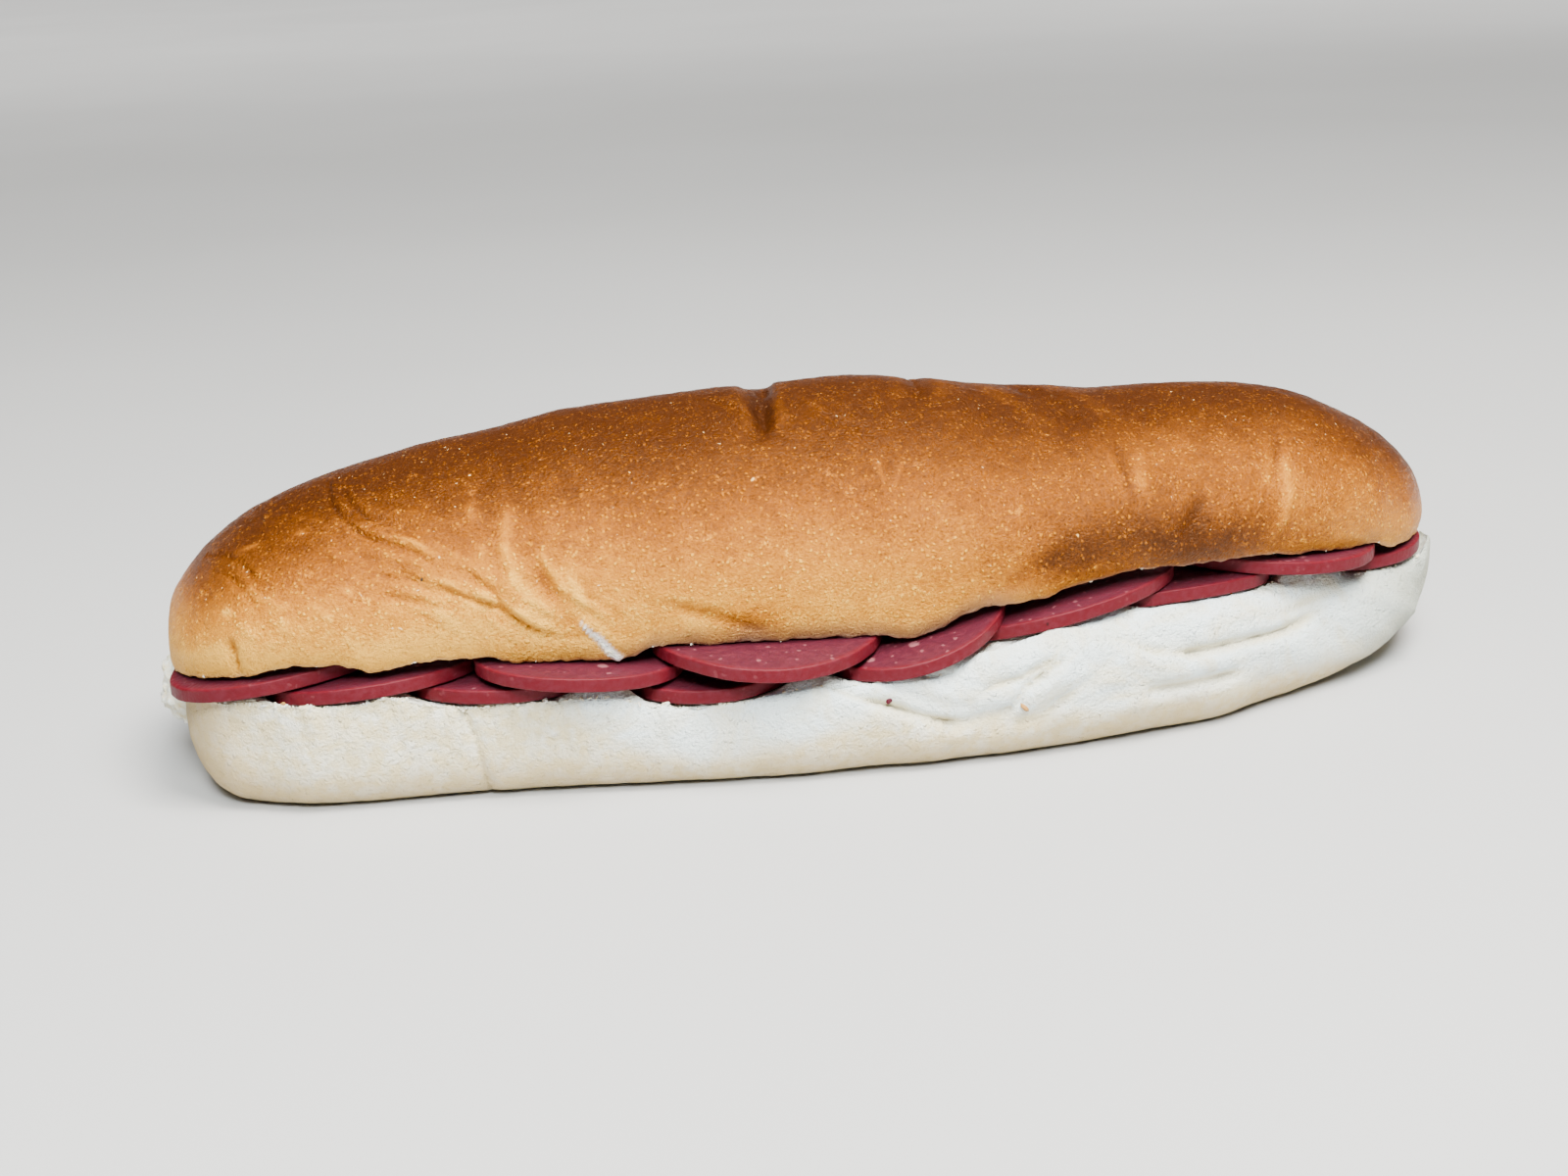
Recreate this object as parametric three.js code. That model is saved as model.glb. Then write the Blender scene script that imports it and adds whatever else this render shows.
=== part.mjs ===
// A long soft roll, slit along its front and filled with overlapping slices of sausage.
// Millimetres. X runs along the roll, -Y is the open front, +Z is up, and the flat base lies on Z = 0.

import * as THREE from 'three';

// Driving dimensions of the bread

const LEFT_END = -125;
const RIGHT_END = 126;
const END_INSET = 0.15;
const CROWN_SETBACK = 2.4;
const CROWN_FOOT = 27;
const UNDERSIDE_TIP = 20;

// How far in from each end the roll has reached its full size, and how blunt that end is
const LEFT_PLAN = { length: 34, power: 2.6 };
const RIGHT_PLAN = { length: 66, power: 2.1 };
const LEFT_CROWN = { length: 46, power: 2.2 };
const RIGHT_CROWN = { length: 52, power: 2.1 };
const LEFT_BASE = { length: 16, power: 2.8 };
const RIGHT_BASE = { length: 66, power: 2.1 };
const LEFT_UNDERSIDE = { length: 18, power: 2.5 };
const RIGHT_UNDERSIDE = { length: 50, power: 2.2 };
const LEFT_TEAR = { length: 14, power: 2.4 };

// Sizes that change along the roll, as pairs of x and the size there
const RIDGE_HEIGHT = [
  [-125, 44.6], [-108, 50.9], [-94, 52.8], [-84, 54.4], [-75, 56.1], [-61, 57.9], [-48, 60.2], [-34, 61.2],
  [-12, 62.1], [4, 62.3], [19, 61.1], [34, 57.9], [49, 56.6], [60, 55.2], [75, 55.2], [95, 55.3],
  [110, 53.5], [126, 51.5],
];
const HALF_WIDTH = [[-125, 34], [-70, 37.5], [-30, 40.5], [10, 41.5], [50, 40.5], [90, 37], [126, 34]];
const BASE_REACH = [
  [-125, 30], [-112, 30.8], [-100, 35.3], [-85, 36.7], [-70, 38], [-50, 41.5], [-30, 44.5], [-10, 47.2],
  [10, 47.8], [30, 48.3], [50, 46.2], [65, 43.6], [80, 39], [95, 36.3], [110, 35.8], [126, 34],
];
const LOWER_LIP_LEAN = [
  [-125, 0.5], [-60, 1], [-30, 2], [0, 3], [18, 4], [45, 7.5], [70, 7], [100, 6], [126, 2],
];
const SLIT_ROOF = [
  [-125, 22.9], [-117, 25], [-108, 26.7], [-101, 27.9], [-93, 27.4], [-88.5, 25.9], [-77, 27],
  [-70, 26.7], [-62, 25.3], [-43, 24.8], [-38, 26.5], [-30, 26.1], [-14, 25.4], [2, 24.5], [7, 23.3],
  [13, 24.3], [21, 27.6], [29, 27.8], [40, 30], [51, 31.3], [70, 31], [89, 29.2], [98, 28.1],
  [104, 27.4], [110, 25.3], [126, 24.2],
];
const SLIT_FLOOR = [
  [-125, 18.5], [-117, 21.1], [-109, 21.1], [-92, 20.3], [-87, 21.4], [-79, 19.5], [-69, 18.2],
  [-48, 18.8], [-41, 16.9], [-31, 16.1], [-20, 17.4], [-12, 18.6], [1, 18.1], [13, 18.5], [20, 21.3],
  [29, 22.6], [45, 23.4], [63, 23.4], [79, 23], [90, 22], [97, 20.7], [110, 20.3], [126, 21.1],
];
const HINGE_DEPTH = [
  [-125, -9], [-122.5, 0], [-119, 7], [-113, 14], [-100, 18], [60, 18],
  [95, 17], [112, 14], [118, 9], [122, 3], [126, -4],
];

const LIP_SHARE = 0.95;
const BACK_SHARE = 0.97;
const RIDGE_SHARE = 0.02;
const FRONT_BULGE_SHARE = 0.24;
const BACK_BULGE_SHARE = 0.42;
const CROWN_POWER = 2.1;
const BASE_POWER = 2.6;
const TEAR_X = -123.4;
const TEAR_SETBACK = 2;
const BACK_CORNER = 14;
const BACK_CORNER_SHARE = 0.35;
const FRONT_CORNER = 9;
const FRONT_CORNER_SHARE = 0.3;
const FULL_LEAN_SHARE = 2 / 3;
const HINGE_SHARE = 0.6;
const MOUTH_SHARE = 0.06;

// The upper lip hangs below the slit's roof and the lower rim stands above its floor, within a short reach
const LIP_HANG = 1.6;
const RIM_STAND = 2.6;
const LIP_REACH = 5;

// Filling and crumb sag over the lower lip: where the sag starts behind the upper lip, and how strong it is
const SAG_START = 6;
const SAG = [[-125, 0.002], [-60, 0.003], [-20, 0.0072], [20, 0.0072], [60, 0.005], [126, 0.003]];

// Creases, drawn on the unrolled crust as x and the way up from the upper lip, with depth and half width
const CRUST_CREASES = [
  { path: [[-94, 48], [-92, 36], [-88, 28], [-76, 18], [-69, 18]], depth: 1.1, width: 3.2 },
  { path: [[-86, 21], [-75, 17], [-66, 12], [-50, 4]], depth: 1.3, width: 3.2 },
  { path: [[-10, 72], [-14, 53], [-14, 41]], depth: 1.3, width: 3.4 },
  { path: [[0, 52], [7, 41]], depth: 0.7, width: 3.4 },
  { path: [[43, 66], [48, 48], [51, 34]], depth: 0.8, width: 6 },
  { path: [[84, 34], [81, 17], [80, 6]], depth: 1, width: 3.2 },
  { path: [[56, 4], [66, 15]], depth: 1, width: 4 },
];
// Folds in the torn front of the lower half, as x and the way down from the lower lip
const FRONT_CREASES = [
  { path: [[-70, 2], [-68, 20]], depth: 0.6, width: 3.2 },
  { path: [[-7, 4], [11, 11], [25, 12], [38, 6]], depth: 1.2, width: 3.2 },
  { path: [[46, 10], [67, 12.5], [90, 10]], depth: 1, width: 3.4 },
];
const CREASE_FADE = 3;

// How finely the bread is divided: stations along it, and points in each stretch of a section
const STATIONS = 74;
const STATION_CROWDING = 0.4;
const SLIT_STEPS = [0, 0.02, 0.06, 0.25, 0.5, 0.75, 0.91, 0.96];
const POINTS = { lip: 4, crown: 14, back: 9, backCorner: 5, base: 3, frontCorner: 4, lowFront: 4 };

// Driving dimensions of the slices: middle, foremost point, half length and half depth of the oval,
// height of the underside at the middle, tilt along the roll, and curl along the roll
const SLICE_THICKNESS = 2.5;
const SLICE_SIDES = 30;
const SLICE_RINGS = [0.45, 0.78, 1];
const SLICES = [
  { x: -104.1, front: -33.1, length: 20.5, depth: 17, height: 23.35, tilt: 0.11, curl: -0.0022 },
  { x: -88.5, front: -36.6, length: 19.4, depth: 13.2, height: 21.6, tilt: 0.056, curl: -0.0022 },
  { x: -64, front: -39, length: 19.5, depth: 15, height: 18.9, tilt: -0.022, curl: -0.001 },
  { x: -51.9, front: -44.6, length: 18.7, depth: 12.6, height: 21.8, tilt: -0.088, curl: -0.0016 },
  { x: -27.2, front: -43.7, length: 17.2, depth: 14.1, height: 17, tilt: 0.039, curl: 0 },
  { x: -17.8, front: -49.5, length: 21.1, depth: 17.2, height: 22.7, tilt: -0.045, curl: 0 },
  { x: 9.2, front: -47.6, length: 18.5, depth: 17.7, height: 20.1, tilt: 0.206, curl: 0.0021 },
  { x: 39.1, front: -42.5, length: 22.4, depth: 14.4, height: 24.3, tilt: 0.188, curl: -0.0033 },
  { x: 60.5, front: -37.7, length: 21.9, depth: 13, height: 23.9, tilt: 0.05, curl: -0.0039 },
  { x: 84.4, front: -35.5, length: 21.4, depth: 16.4, height: 26.1, tilt: -0.068, curl: -0.0004 },
  { x: 103.5, front: -22.7, length: 17.9, depth: 16.1, height: 21.1, tilt: 0.023, curl: 0.0009 },
];

// Smooth curve through pairs of x and value, with no overshoot between them
function through(x, pairs) {
  const last = pairs.length - 1;
  const at = Math.min(Math.max(x, pairs[0][0]), pairs[last][0]);
  const slopes = [];
  for (let i = 0; i < last; i++) {
    slopes.push((pairs[i + 1][1] - pairs[i][1]) / (pairs[i + 1][0] - pairs[i][0]));
  }
  const tangent = (i) => {
    if (i === 0) return slopes[0];
    if (i === last) return slopes[last - 1];
    const product = slopes[i - 1] * slopes[i];
    return product > 0 ? (2 * product) / (slopes[i - 1] + slopes[i]) : 0;
  };
  let i = 0;
  while (i < last - 1 && at >= pairs[i + 1][0]) i++;
  const width = pairs[i + 1][0] - pairs[i][0];
  const t = (at - pairs[i][0]) / width;
  const rise = t * t * (3 - 2 * t);
  const bend = width * (t * (1 - t) * (1 - t) * tangent(i) - t * t * (1 - t) * tangent(i + 1));
  return pairs[i][1] * (1 - rise) + pairs[i + 1][1] * rise + bend;
}

// Share of the full size at a distance in from a rounded end
function roundEnd(distance, end) {
  const share = Math.min(Math.max(distance / end.length, 0), 1);
  return (1 - (1 - share) ** end.power) ** (1 / end.power);
}

// How far the crown still has to go to its right end, which stops short of the lower half's
function crownRoom(x) {
  const room = RIGHT_END - x;
  return (room * room) / (room + CROWN_SETBACK);
}

// Share of the full size at x for the upper half, and for the lower half
const upperShare = (x, left, right) => roundEnd(x - LEFT_END, left) * roundEnd(crownRoom(x), right);
const lowerShare = (x, leftEnd, left, right) => roundEnd(x - leftEnd, left) * roundEnd(RIGHT_END - x, right);
const planShare = (x) => upperShare(x, LEFT_PLAN, RIGHT_PLAN);
const upperLip = (x) => -LIP_SHARE * through(x, HALF_WIDTH) * planShare(x);

// How far filling and crumb have sunk at a point of the slit
function sag(x, y) {
  const forward = Math.max(0, SAG_START - (y - upperLip(x)));
  return through(x, SAG) * forward * forward;
}

// Share of the slit's full height that is reached at y, behind the edge of a lip
function behind(y, edge) {
  const share = Math.min(Math.max((y - edge) / LIP_REACH, 0), 1);
  return share * (2 - share);
}

// The measures of the section at x
function measures(x) {
  const halfWidth = through(x, HALF_WIDTH);
  const plan = planShare(x);
  const crown = upperShare(x, LEFT_CROWN, RIGHT_CROWN);
  const base = lowerShare(x, TEAR_X, LEFT_BASE, RIGHT_BASE);
  const underside = lowerShare(x, LEFT_END, LEFT_UNDERSIDE, RIGHT_UNDERSIDE);
  const m = {};
  m.ridgeZ = CROWN_FOOT + (through(x, RIDGE_HEIGHT) - CROWN_FOOT) * crown;
  m.ridgeY = RIDGE_SHARE * halfWidth;
  m.frontY = -halfWidth * plan;
  m.backY = BACK_SHARE * halfWidth * plan;
  m.roof = through(x, SLIT_ROOF);
  m.floor = through(x, SLIT_FLOOR);
  m.lipY = upperLip(x);
  m.lipZ = m.roof - sag(x, m.lipY);
  m.frontZ = m.lipZ + (m.ridgeZ - m.lipZ) * FRONT_BULGE_SHARE;
  m.baseZ = UNDERSIDE_TIP * (1 - underside);
  m.lowY = TEAR_SETBACK * (1 - roundEnd(x - TEAR_X, LEFT_TEAR)) - through(x, BASE_REACH) * base;
  m.lowLipY = m.lowY + through(x, LOWER_LIP_LEAN) * Math.min(1, base / FULL_LEAN_SHARE);
  m.lowLipZ = m.floor - sag(x, m.lowLipY);
  m.lowZ = (m.baseZ + m.lowLipZ) / 2;
  m.backZ = m.baseZ + (m.ridgeZ - m.baseZ) * BACK_BULGE_SHARE;
  m.hingeY = Math.max(through(x, HINGE_DEPTH), HINGE_SHARE * m.lipY);
  m.hingeZ = (m.roof + m.floor) / 2;
  return m;
}

const steps = (count) => Array.from({ length: count }, (_, i) => i / count);
const sine = (t, power) => Math.max(0, Math.sin((t * Math.PI) / 2)) ** (2 / power);
const cosine = (t, power) => Math.max(0, Math.cos((t * Math.PI) / 2)) ** (2 / power);

// The closed outline of the bread at x: slit roof, upper lip, crown, back, base, front, slit floor.
// Each point carries the stretch that it belongs to.
function section(x) {
  const m = measures(x);
  const points = [];
  const add = (stretch, y, z) => points.push({ stretch, y, z });
  const opening = (share) => Math.sqrt(Math.min(1, share / MOUTH_SHARE));
  for (const u of SLIT_STEPS) {
    const y = m.hingeY + (m.lipY - m.hingeY) * u;
    const roof = m.roof + LIP_HANG * behind(y, m.lipY);
    add('roof', y, m.hingeZ + (roof - m.hingeZ) * opening(u) - sag(x, y));
  }
  for (const t of steps(POINTS.lip)) {
    add('lip', m.lipY + (m.frontY - m.lipY) * sine(t, 2), m.frontZ - (m.frontZ - m.lipZ) * cosine(t, 2));
  }
  for (const t of steps(POINTS.crown)) {
    const y = m.ridgeY + (m.frontY - m.ridgeY) * cosine(t, CROWN_POWER);
    add('crown', y, m.frontZ + (m.ridgeZ - m.frontZ) * sine(t, CROWN_POWER));
  }
  for (const t of steps(POINTS.back)) {
    const y = m.ridgeY + (m.backY - m.ridgeY) * sine(t, CROWN_POWER);
    add('back', y, m.backZ + (m.ridgeZ - m.backZ) * cosine(t, CROWN_POWER));
  }
  const width = m.backY - m.lowY;
  const backCorner = Math.min(BACK_CORNER, BACK_CORNER_SHARE * width);
  const frontCorner = Math.min(FRONT_CORNER, FRONT_CORNER_SHARE * width);
  const backFoot = m.backY - backCorner;
  const frontFoot = m.lowY + frontCorner;
  for (const t of steps(POINTS.backCorner)) {
    const z = m.backZ - (m.backZ - m.baseZ) * sine(t, BASE_POWER);
    add('backCorner', backFoot + backCorner * cosine(t, BASE_POWER), z);
  }
  for (const t of steps(POINTS.base)) add('base', backFoot + (frontFoot - backFoot) * t, m.baseZ);
  for (const t of steps(POINTS.frontCorner)) {
    const z = m.lowZ - (m.lowZ - m.baseZ) * cosine(t, BASE_POWER);
    add('frontCorner', frontFoot - frontCorner * sine(t, BASE_POWER), z);
  }
  for (const t of steps(POINTS.lowFront)) {
    const y = m.lowLipY - (m.lowLipY - m.lowY) * cosine(t, 2);
    add('lowFront', y, m.lowZ + (m.lowLipZ - m.lowZ) * sine(t, 2));
  }
  for (const u of [...SLIT_STEPS].reverse()) {
    if (u === 0) continue;
    const y = m.hingeY + (m.lowLipY - m.hingeY) * u;
    const floor = m.floor - RIM_STAND * behind(y, m.lowLipY);
    add('floor', y, m.hingeZ - (m.hingeZ - floor) * opening(u) - sag(x, y));
  }
  return points;
}

// Distance from a point of an unrolled surface to a crease's path
function distanceToPath(x, way, path) {
  let nearest = Infinity;
  for (let i = 0; i + 1 < path.length; i++) {
    const [ax, ay] = path[i];
    const [bx, by] = path[i + 1];
    const along = ((x - ax) * (bx - ax) + (way - ay) * (by - ay)) / ((bx - ax) ** 2 + (by - ay) ** 2);
    const t = Math.min(Math.max(along, 0), 1);
    nearest = Math.min(nearest, Math.hypot(x - ax - t * (bx - ax), way - ay - t * (by - ay)));
  }
  return nearest;
}

function creaseDepth(x, way, creases) {
  let depth = 0;
  for (const crease of creases) {
    const off = distanceToPath(x, way, crease.path) / crease.width;
    depth += crease.depth * Math.exp(-off * off);
  }
  return depth * Math.min(1, Math.max(0, way) / CREASE_FADE);
}

// How deep the creases are at each point of a section, worked out on its unrolled surface
function sectionRelief(x, points) {
  const length = (i) => Math.hypot(points[i].y - points[i - 1].y, points[i].z - points[i - 1].z);
  const way = [0];
  for (let i = 1; i < points.length; i++) way.push(way[i - 1] + length(i));
  const upperStart = way[points.findIndex((p) => p.stretch === 'lip')];
  const lowerStart = way[points.findIndex((p) => p.stretch === 'floor')];
  return points.map((point, i) => {
    if (point.stretch === 'lip' || point.stretch === 'crown' || point.stretch === 'back') {
      return creaseDepth(x, way[i] - upperStart, CRUST_CREASES);
    }
    if (point.stretch === 'lowFront' || point.stretch === 'frontCorner') {
      return creaseDepth(x, lowerStart - way[i], FRONT_CREASES);
    }
    return 0;
  });
}

// Where the stations stand: closer together towards the rounded ends
function stationPlaces() {
  const middle = (LEFT_END + RIGHT_END) / 2;
  const half = (RIGHT_END - LEFT_END) / 2 - END_INSET;
  return Array.from({ length: STATIONS }, (_, i) => {
    const t = i / (STATIONS - 1) - 0.5;
    return middle + half * (STATION_CROWDING * Math.sin(Math.PI * t) + (1 - STATION_CROWDING) * 2 * t);
  });
}

// Sections joined along the roll, with a flat cap at each end, then pressed in along the creases
function breadGeometry() {
  const places = stationPlaces();
  const sections = places.map(section);
  const relief = places.map((x, i) => sectionRelief(x, sections[i]));
  const around = sections[0].length;
  const positions = [];
  sections.forEach((points, i) => points.forEach((p) => positions.push(places[i], p.y, p.z)));
  const faces = [];
  for (let i = 0; i + 1 < places.length; i++) {
    for (let j = 0; j < around; j++) {
      const next = (j + 1) % around;
      const a = i * around + j;
      const b = i * around + next;
      const c = (i + 1) * around + next;
      const d = (i + 1) * around + j;
      faces.push(a, c, b, a, d, c);
    }
  }
  const capFaces = (points) => {
    const outline = points.map((p) => new THREE.Vector2(p.y, p.z));
    return THREE.ShapeUtils.triangulateShape(outline, []).map(([a, b, c]) => {
      const turnsLeft = THREE.ShapeUtils.area([outline[a], outline[b], outline[c]]) > 0;
      return turnsLeft ? [a, b, c] : [a, c, b];
    });
  };
  const lastStart = (places.length - 1) * around;
  for (const [a, b, c] of capFaces(sections[0])) faces.push(a, c, b);
  for (const [a, b, c] of capFaces(sections[places.length - 1])) {
    faces.push(lastStart + a, lastStart + b, lastStart + c);
  }
  const geometry = new THREE.BufferGeometry();
  geometry.setAttribute('position', new THREE.Float32BufferAttribute(positions, 3));
  geometry.setIndex(faces);
  geometry.computeVertexNormals();
  const position = geometry.getAttribute('position');
  const normal = geometry.getAttribute('normal');
  const point = new THREE.Vector3();
  const outward = new THREE.Vector3();
  relief.flat().forEach((depth, i) => {
    point.fromBufferAttribute(position, i);
    outward.fromBufferAttribute(normal, i);
    point.addScaledVector(outward, -depth);
    position.setXYZ(i, point.x, point.y, point.z);
  });
  geometry.computeVertexNormals();
  return geometry;
}

// An oval slice with the slit's sag, its own tilt and its own curl: underside and top, joined by the rim
function sliceGeometry(slice) {
  const middleY = slice.front + slice.depth;
  const underside = (x, y) => {
    const off = x - slice.x;
    return slice.height + slice.tilt * off + slice.curl * off * off - sag(x, y);
  };
  const positions = [];
  const addFace = (lift) => {
    positions.push(slice.x, middleY, underside(slice.x, middleY) + lift);
    for (const ring of SLICE_RINGS) {
      for (let k = 0; k < SLICE_SIDES; k++) {
        const angle = (2 * Math.PI * k) / SLICE_SIDES;
        const x = slice.x + slice.length * ring * Math.cos(angle);
        const y = middleY + slice.depth * ring * Math.sin(angle);
        positions.push(x, y, underside(x, y) + lift);
      }
    }
  };
  addFace(0);
  addFace(SLICE_THICKNESS);
  const perFace = 1 + SLICE_RINGS.length * SLICE_SIDES;
  const faces = [];
  const addTriangle = (top, a, b, c) => {
    const first = top ? perFace : 0;
    if (top) faces.push(first + a, first + b, first + c);
    else faces.push(first + a, first + c, first + b);
  };
  for (const top of [false, true]) {
    for (let k = 0; k < SLICE_SIDES; k++) {
      const next = (k + 1) % SLICE_SIDES;
      addTriangle(top, 0, 1 + k, 1 + next);
      for (let ring = 0; ring + 1 < SLICE_RINGS.length; ring++) {
        const inner = 1 + ring * SLICE_SIDES;
        const outer = inner + SLICE_SIDES;
        addTriangle(top, inner + k, outer + k, outer + next);
        addTriangle(top, inner + k, outer + next, inner + next);
      }
    }
  }
  const rim = 1 + (SLICE_RINGS.length - 1) * SLICE_SIDES;
  for (let k = 0; k < SLICE_SIDES; k++) {
    const next = (k + 1) % SLICE_SIDES;
    const low = rim + k;
    const lowNext = rim + next;
    faces.push(low, lowNext, perFace + lowNext, low, perFace + lowNext, perFace + low);
  }
  const geometry = new THREE.BufferGeometry();
  geometry.setAttribute('position', new THREE.Float32BufferAttribute(positions, 3));
  geometry.setIndex(faces);
  geometry.computeVertexNormals();
  return geometry;
}

const crust = () => new THREE.MeshStandardMaterial({ color: 0xc58a45, roughness: 0.5, metalness: 0 });
const sausage = () => new THREE.MeshStandardMaterial({ color: 0x9c3a40, roughness: 0.45, metalness: 0 });

const roll = new THREE.Group();
const bread = new THREE.Mesh(breadGeometry(), crust());
bread.name = 'bread_roll';
roll.add(bread);
SLICES.forEach((slice, i) => {
  const mesh = new THREE.Mesh(sliceGeometry(slice), sausage());
  mesh.name = `sausage_slice_${String(i + 1).padStart(2, '0')}`;
  roll.add(mesh);
});

// The origin is the middle of the roll's outline on the surface that it lies on
const outline = new THREE.Box3().setFromObject(roll);
const middle = outline.getCenter(new THREE.Vector3());
roll.position.set(-middle.x, -middle.y, -outline.min.z);

export default roll;
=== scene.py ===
# %% [markdown]
# # Dressing a filled roll
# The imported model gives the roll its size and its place: one piece of bread, slit along the front, and
# eleven slices of sausage in the slit. It is loaded first and never moved. Everything after this cell
# is built around it in the same frame, so a finer piece always lands where the plain solid lies.

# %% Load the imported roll
import math

import bmesh
import bpy
import numpy as np
from mathutils import Matrix, Vector, noise


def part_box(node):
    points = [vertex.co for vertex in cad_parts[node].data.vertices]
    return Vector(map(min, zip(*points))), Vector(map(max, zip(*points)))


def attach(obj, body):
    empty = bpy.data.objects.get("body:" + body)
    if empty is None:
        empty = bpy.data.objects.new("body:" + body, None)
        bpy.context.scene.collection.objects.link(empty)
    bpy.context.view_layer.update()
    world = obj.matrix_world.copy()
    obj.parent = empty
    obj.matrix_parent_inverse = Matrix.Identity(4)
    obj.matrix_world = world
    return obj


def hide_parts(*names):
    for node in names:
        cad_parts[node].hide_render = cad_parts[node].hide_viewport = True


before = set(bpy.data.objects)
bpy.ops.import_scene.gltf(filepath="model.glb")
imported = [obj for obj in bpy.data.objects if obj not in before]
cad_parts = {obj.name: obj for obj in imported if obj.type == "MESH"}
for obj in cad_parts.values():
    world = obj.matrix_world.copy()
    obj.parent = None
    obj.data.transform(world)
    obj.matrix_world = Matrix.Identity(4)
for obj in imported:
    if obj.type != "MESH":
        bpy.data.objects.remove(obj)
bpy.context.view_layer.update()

print("packed pieces:", ", ".join(sorted(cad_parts)))

# %% [markdown]
# ## Measures of the bread
# A roll changes shape all the way along: the crown rises and falls, the ends round off, and the slit
# opens and closes over the filling. It could be sculpted by hand, but then nobody could say how high it
# is at a given place. Here each measure is a smooth curve through a few pairs of x and size, in
# millimetres, the same ones that the plain solid was made from, so the fine mesh and the solid agree.

# %% Measures along the roll
MM = 0.001
LEFT_END = -125.0
RIGHT_END = 126.0
CROWN_SETBACK = 2.4
CROWN_FOOT = 27.0
UNDERSIDE_TIP = 20.0
TEAR_X = -123.4
RIDGE_HEIGHT = [
    (-125, 44.6), (-108, 50.9), (-94, 52.8), (-84, 54.4), (-75, 56.1), (-61, 57.9), (-48, 60.2),
    (-34, 61.2), (-12, 62.1), (4, 62.3), (19, 61.1), (34, 57.9), (49, 56.6), (60, 55.2), (75, 55.2),
    (95, 55.3), (110, 53.5), (126, 51.5),
]
HALF_WIDTH = [(-125, 34), (-70, 37.5), (-30, 40.5), (10, 41.5), (50, 40.5), (90, 37), (126, 34)]
BASE_REACH = [
    (-125, 30), (-112, 30.8), (-100, 35.3), (-85, 36.7), (-70, 38), (-50, 41.5), (-30, 44.5), (-10, 47.2),
    (10, 47.8), (30, 48.3), (50, 46.2), (65, 43.6), (80, 39), (95, 36.3), (110, 35.8), (126, 34),
]
LOWER_LIP_LEAN = [(-125, 0.5), (-60, 1), (-30, 2), (0, 3), (18, 4), (45, 7.5), (70, 7), (100, 6), (126, 2)]
SLIT_ROOF = [
    (-125, 22.9), (-117, 25), (-108, 26.7), (-101, 27.9), (-93, 27.4), (-88.5, 25.9), (-77, 27),
    (-70, 26.7), (-62, 25.3), (-43, 24.8), (-38, 26.5), (-30, 26.1), (-14, 25.4), (2, 24.5), (7, 23.3),
    (13, 24.3), (21, 27.6), (29, 27.8), (40, 30), (51, 31.3), (70, 31), (89, 29.2), (98, 28.1),
    (104, 27.4), (110, 25.3), (126, 24.2),
]
SLIT_FLOOR = [
    (-125, 18.5), (-117, 21.1), (-109, 21.1), (-92, 20.3), (-87, 21.4), (-79, 19.5), (-69, 18.2),
    (-48, 18.8), (-41, 16.9), (-31, 16.1), (-20, 17.4), (-12, 18.6), (1, 18.1), (13, 18.5), (20, 21.3),
    (29, 22.6), (45, 23.4), (63, 23.4), (79, 23), (90, 22), (97, 20.7), (110, 20.3), (126, 21.1),
]
HINGE_DEPTH = [
    (-125, -9), (-122.5, 0), (-119, 7), (-113, 14), (-100, 18), (60, 18),
    (95, 17), (112, 14), (118, 9), (122, 3), (126, -4),
]
SAG = [(-125, 0.002), (-60, 0.003), (-20, 0.0072), (20, 0.0072), (60, 0.005), (126, 0.003)]
SAG_START = 6.0
LIP_REACH = 5.0


def through(x, pairs):
    """Smooth curve through pairs of x and value, with no overshoot between them."""
    knots = np.array(pairs, float)
    places, values = knots[:, 0], knots[:, 1]
    widths = np.diff(places)
    slopes = np.diff(values) / widths
    tangents = np.concatenate([slopes[:1], np.zeros(len(slopes) - 1), slopes[-1:]])
    for i in range(1, len(slopes)):
        if slopes[i - 1] * slopes[i] > 0:
            tangents[i] = 2 * slopes[i - 1] * slopes[i] / (slopes[i - 1] + slopes[i])
    at = np.clip(np.asarray(x, float), places[0], places[-1])
    k = np.clip(np.searchsorted(places, at, side="right") - 1, 0, len(widths) - 1)
    t = (at - places[k]) / widths[k]
    rise = t * t * (3 - 2 * t)
    bend = widths[k] * (t * (1 - t) ** 2 * tangents[k] - t * t * (1 - t) * tangents[k + 1])
    return values[k] * (1 - rise) + values[k + 1] * rise + bend


print("crown height at the middle: %.1f mm" % through(0, RIDGE_HEIGHT))

# %% Rounded ends and the sunken slit
# Length and power of the rounding, at the left end and at the right end
ROUNDED = {
    "plan": ((34, 2.6), (66, 2.1)),
    "crown": ((46, 2.2), (52, 2.1)),
    "base": ((16, 2.8), (66, 2.1)),
    "underside": ((18, 2.5), (50, 2.2)),
}
LIP_SHARE = 0.95


def round_end(distance, length, power):
    """Share of the full size at a distance in from a rounded end."""
    share = np.clip(distance / length, 0, 1)
    return (1 - (1 - share) ** power) ** (1 / power)


def rounded(part, from_left, from_right):
    """Share of the full size between two rounded ends."""
    left, right = ROUNDED[part]
    return round_end(from_left, *left) * round_end(from_right, *right)


def crown_room(x):
    """How far the crown still has to go to its right end, which stops short of the lower half's."""
    room = RIGHT_END - x
    return room ** 2 / (room + CROWN_SETBACK)


def plan_share(x):
    return rounded("plan", x - LEFT_END, crown_room(x))


def upper_lip(x):
    return -LIP_SHARE * through(x, HALF_WIDTH) * plan_share(x)


def sag(x, y):
    """How far filling and crumb have sunk at a point of the slit."""
    forward = np.maximum(0, SAG_START - (y - upper_lip(x)))
    return through(x, SAG) * forward ** 2


def behind(y, edge):
    """Share of the full height of the slit that is reached at y, behind the edge of a lip."""
    share = np.clip((y - edge) / LIP_REACH, 0, 1)
    return share * (2 - share)


print("the upper lip stands %.1f mm forward at the middle" % -upper_lip(0))

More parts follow.
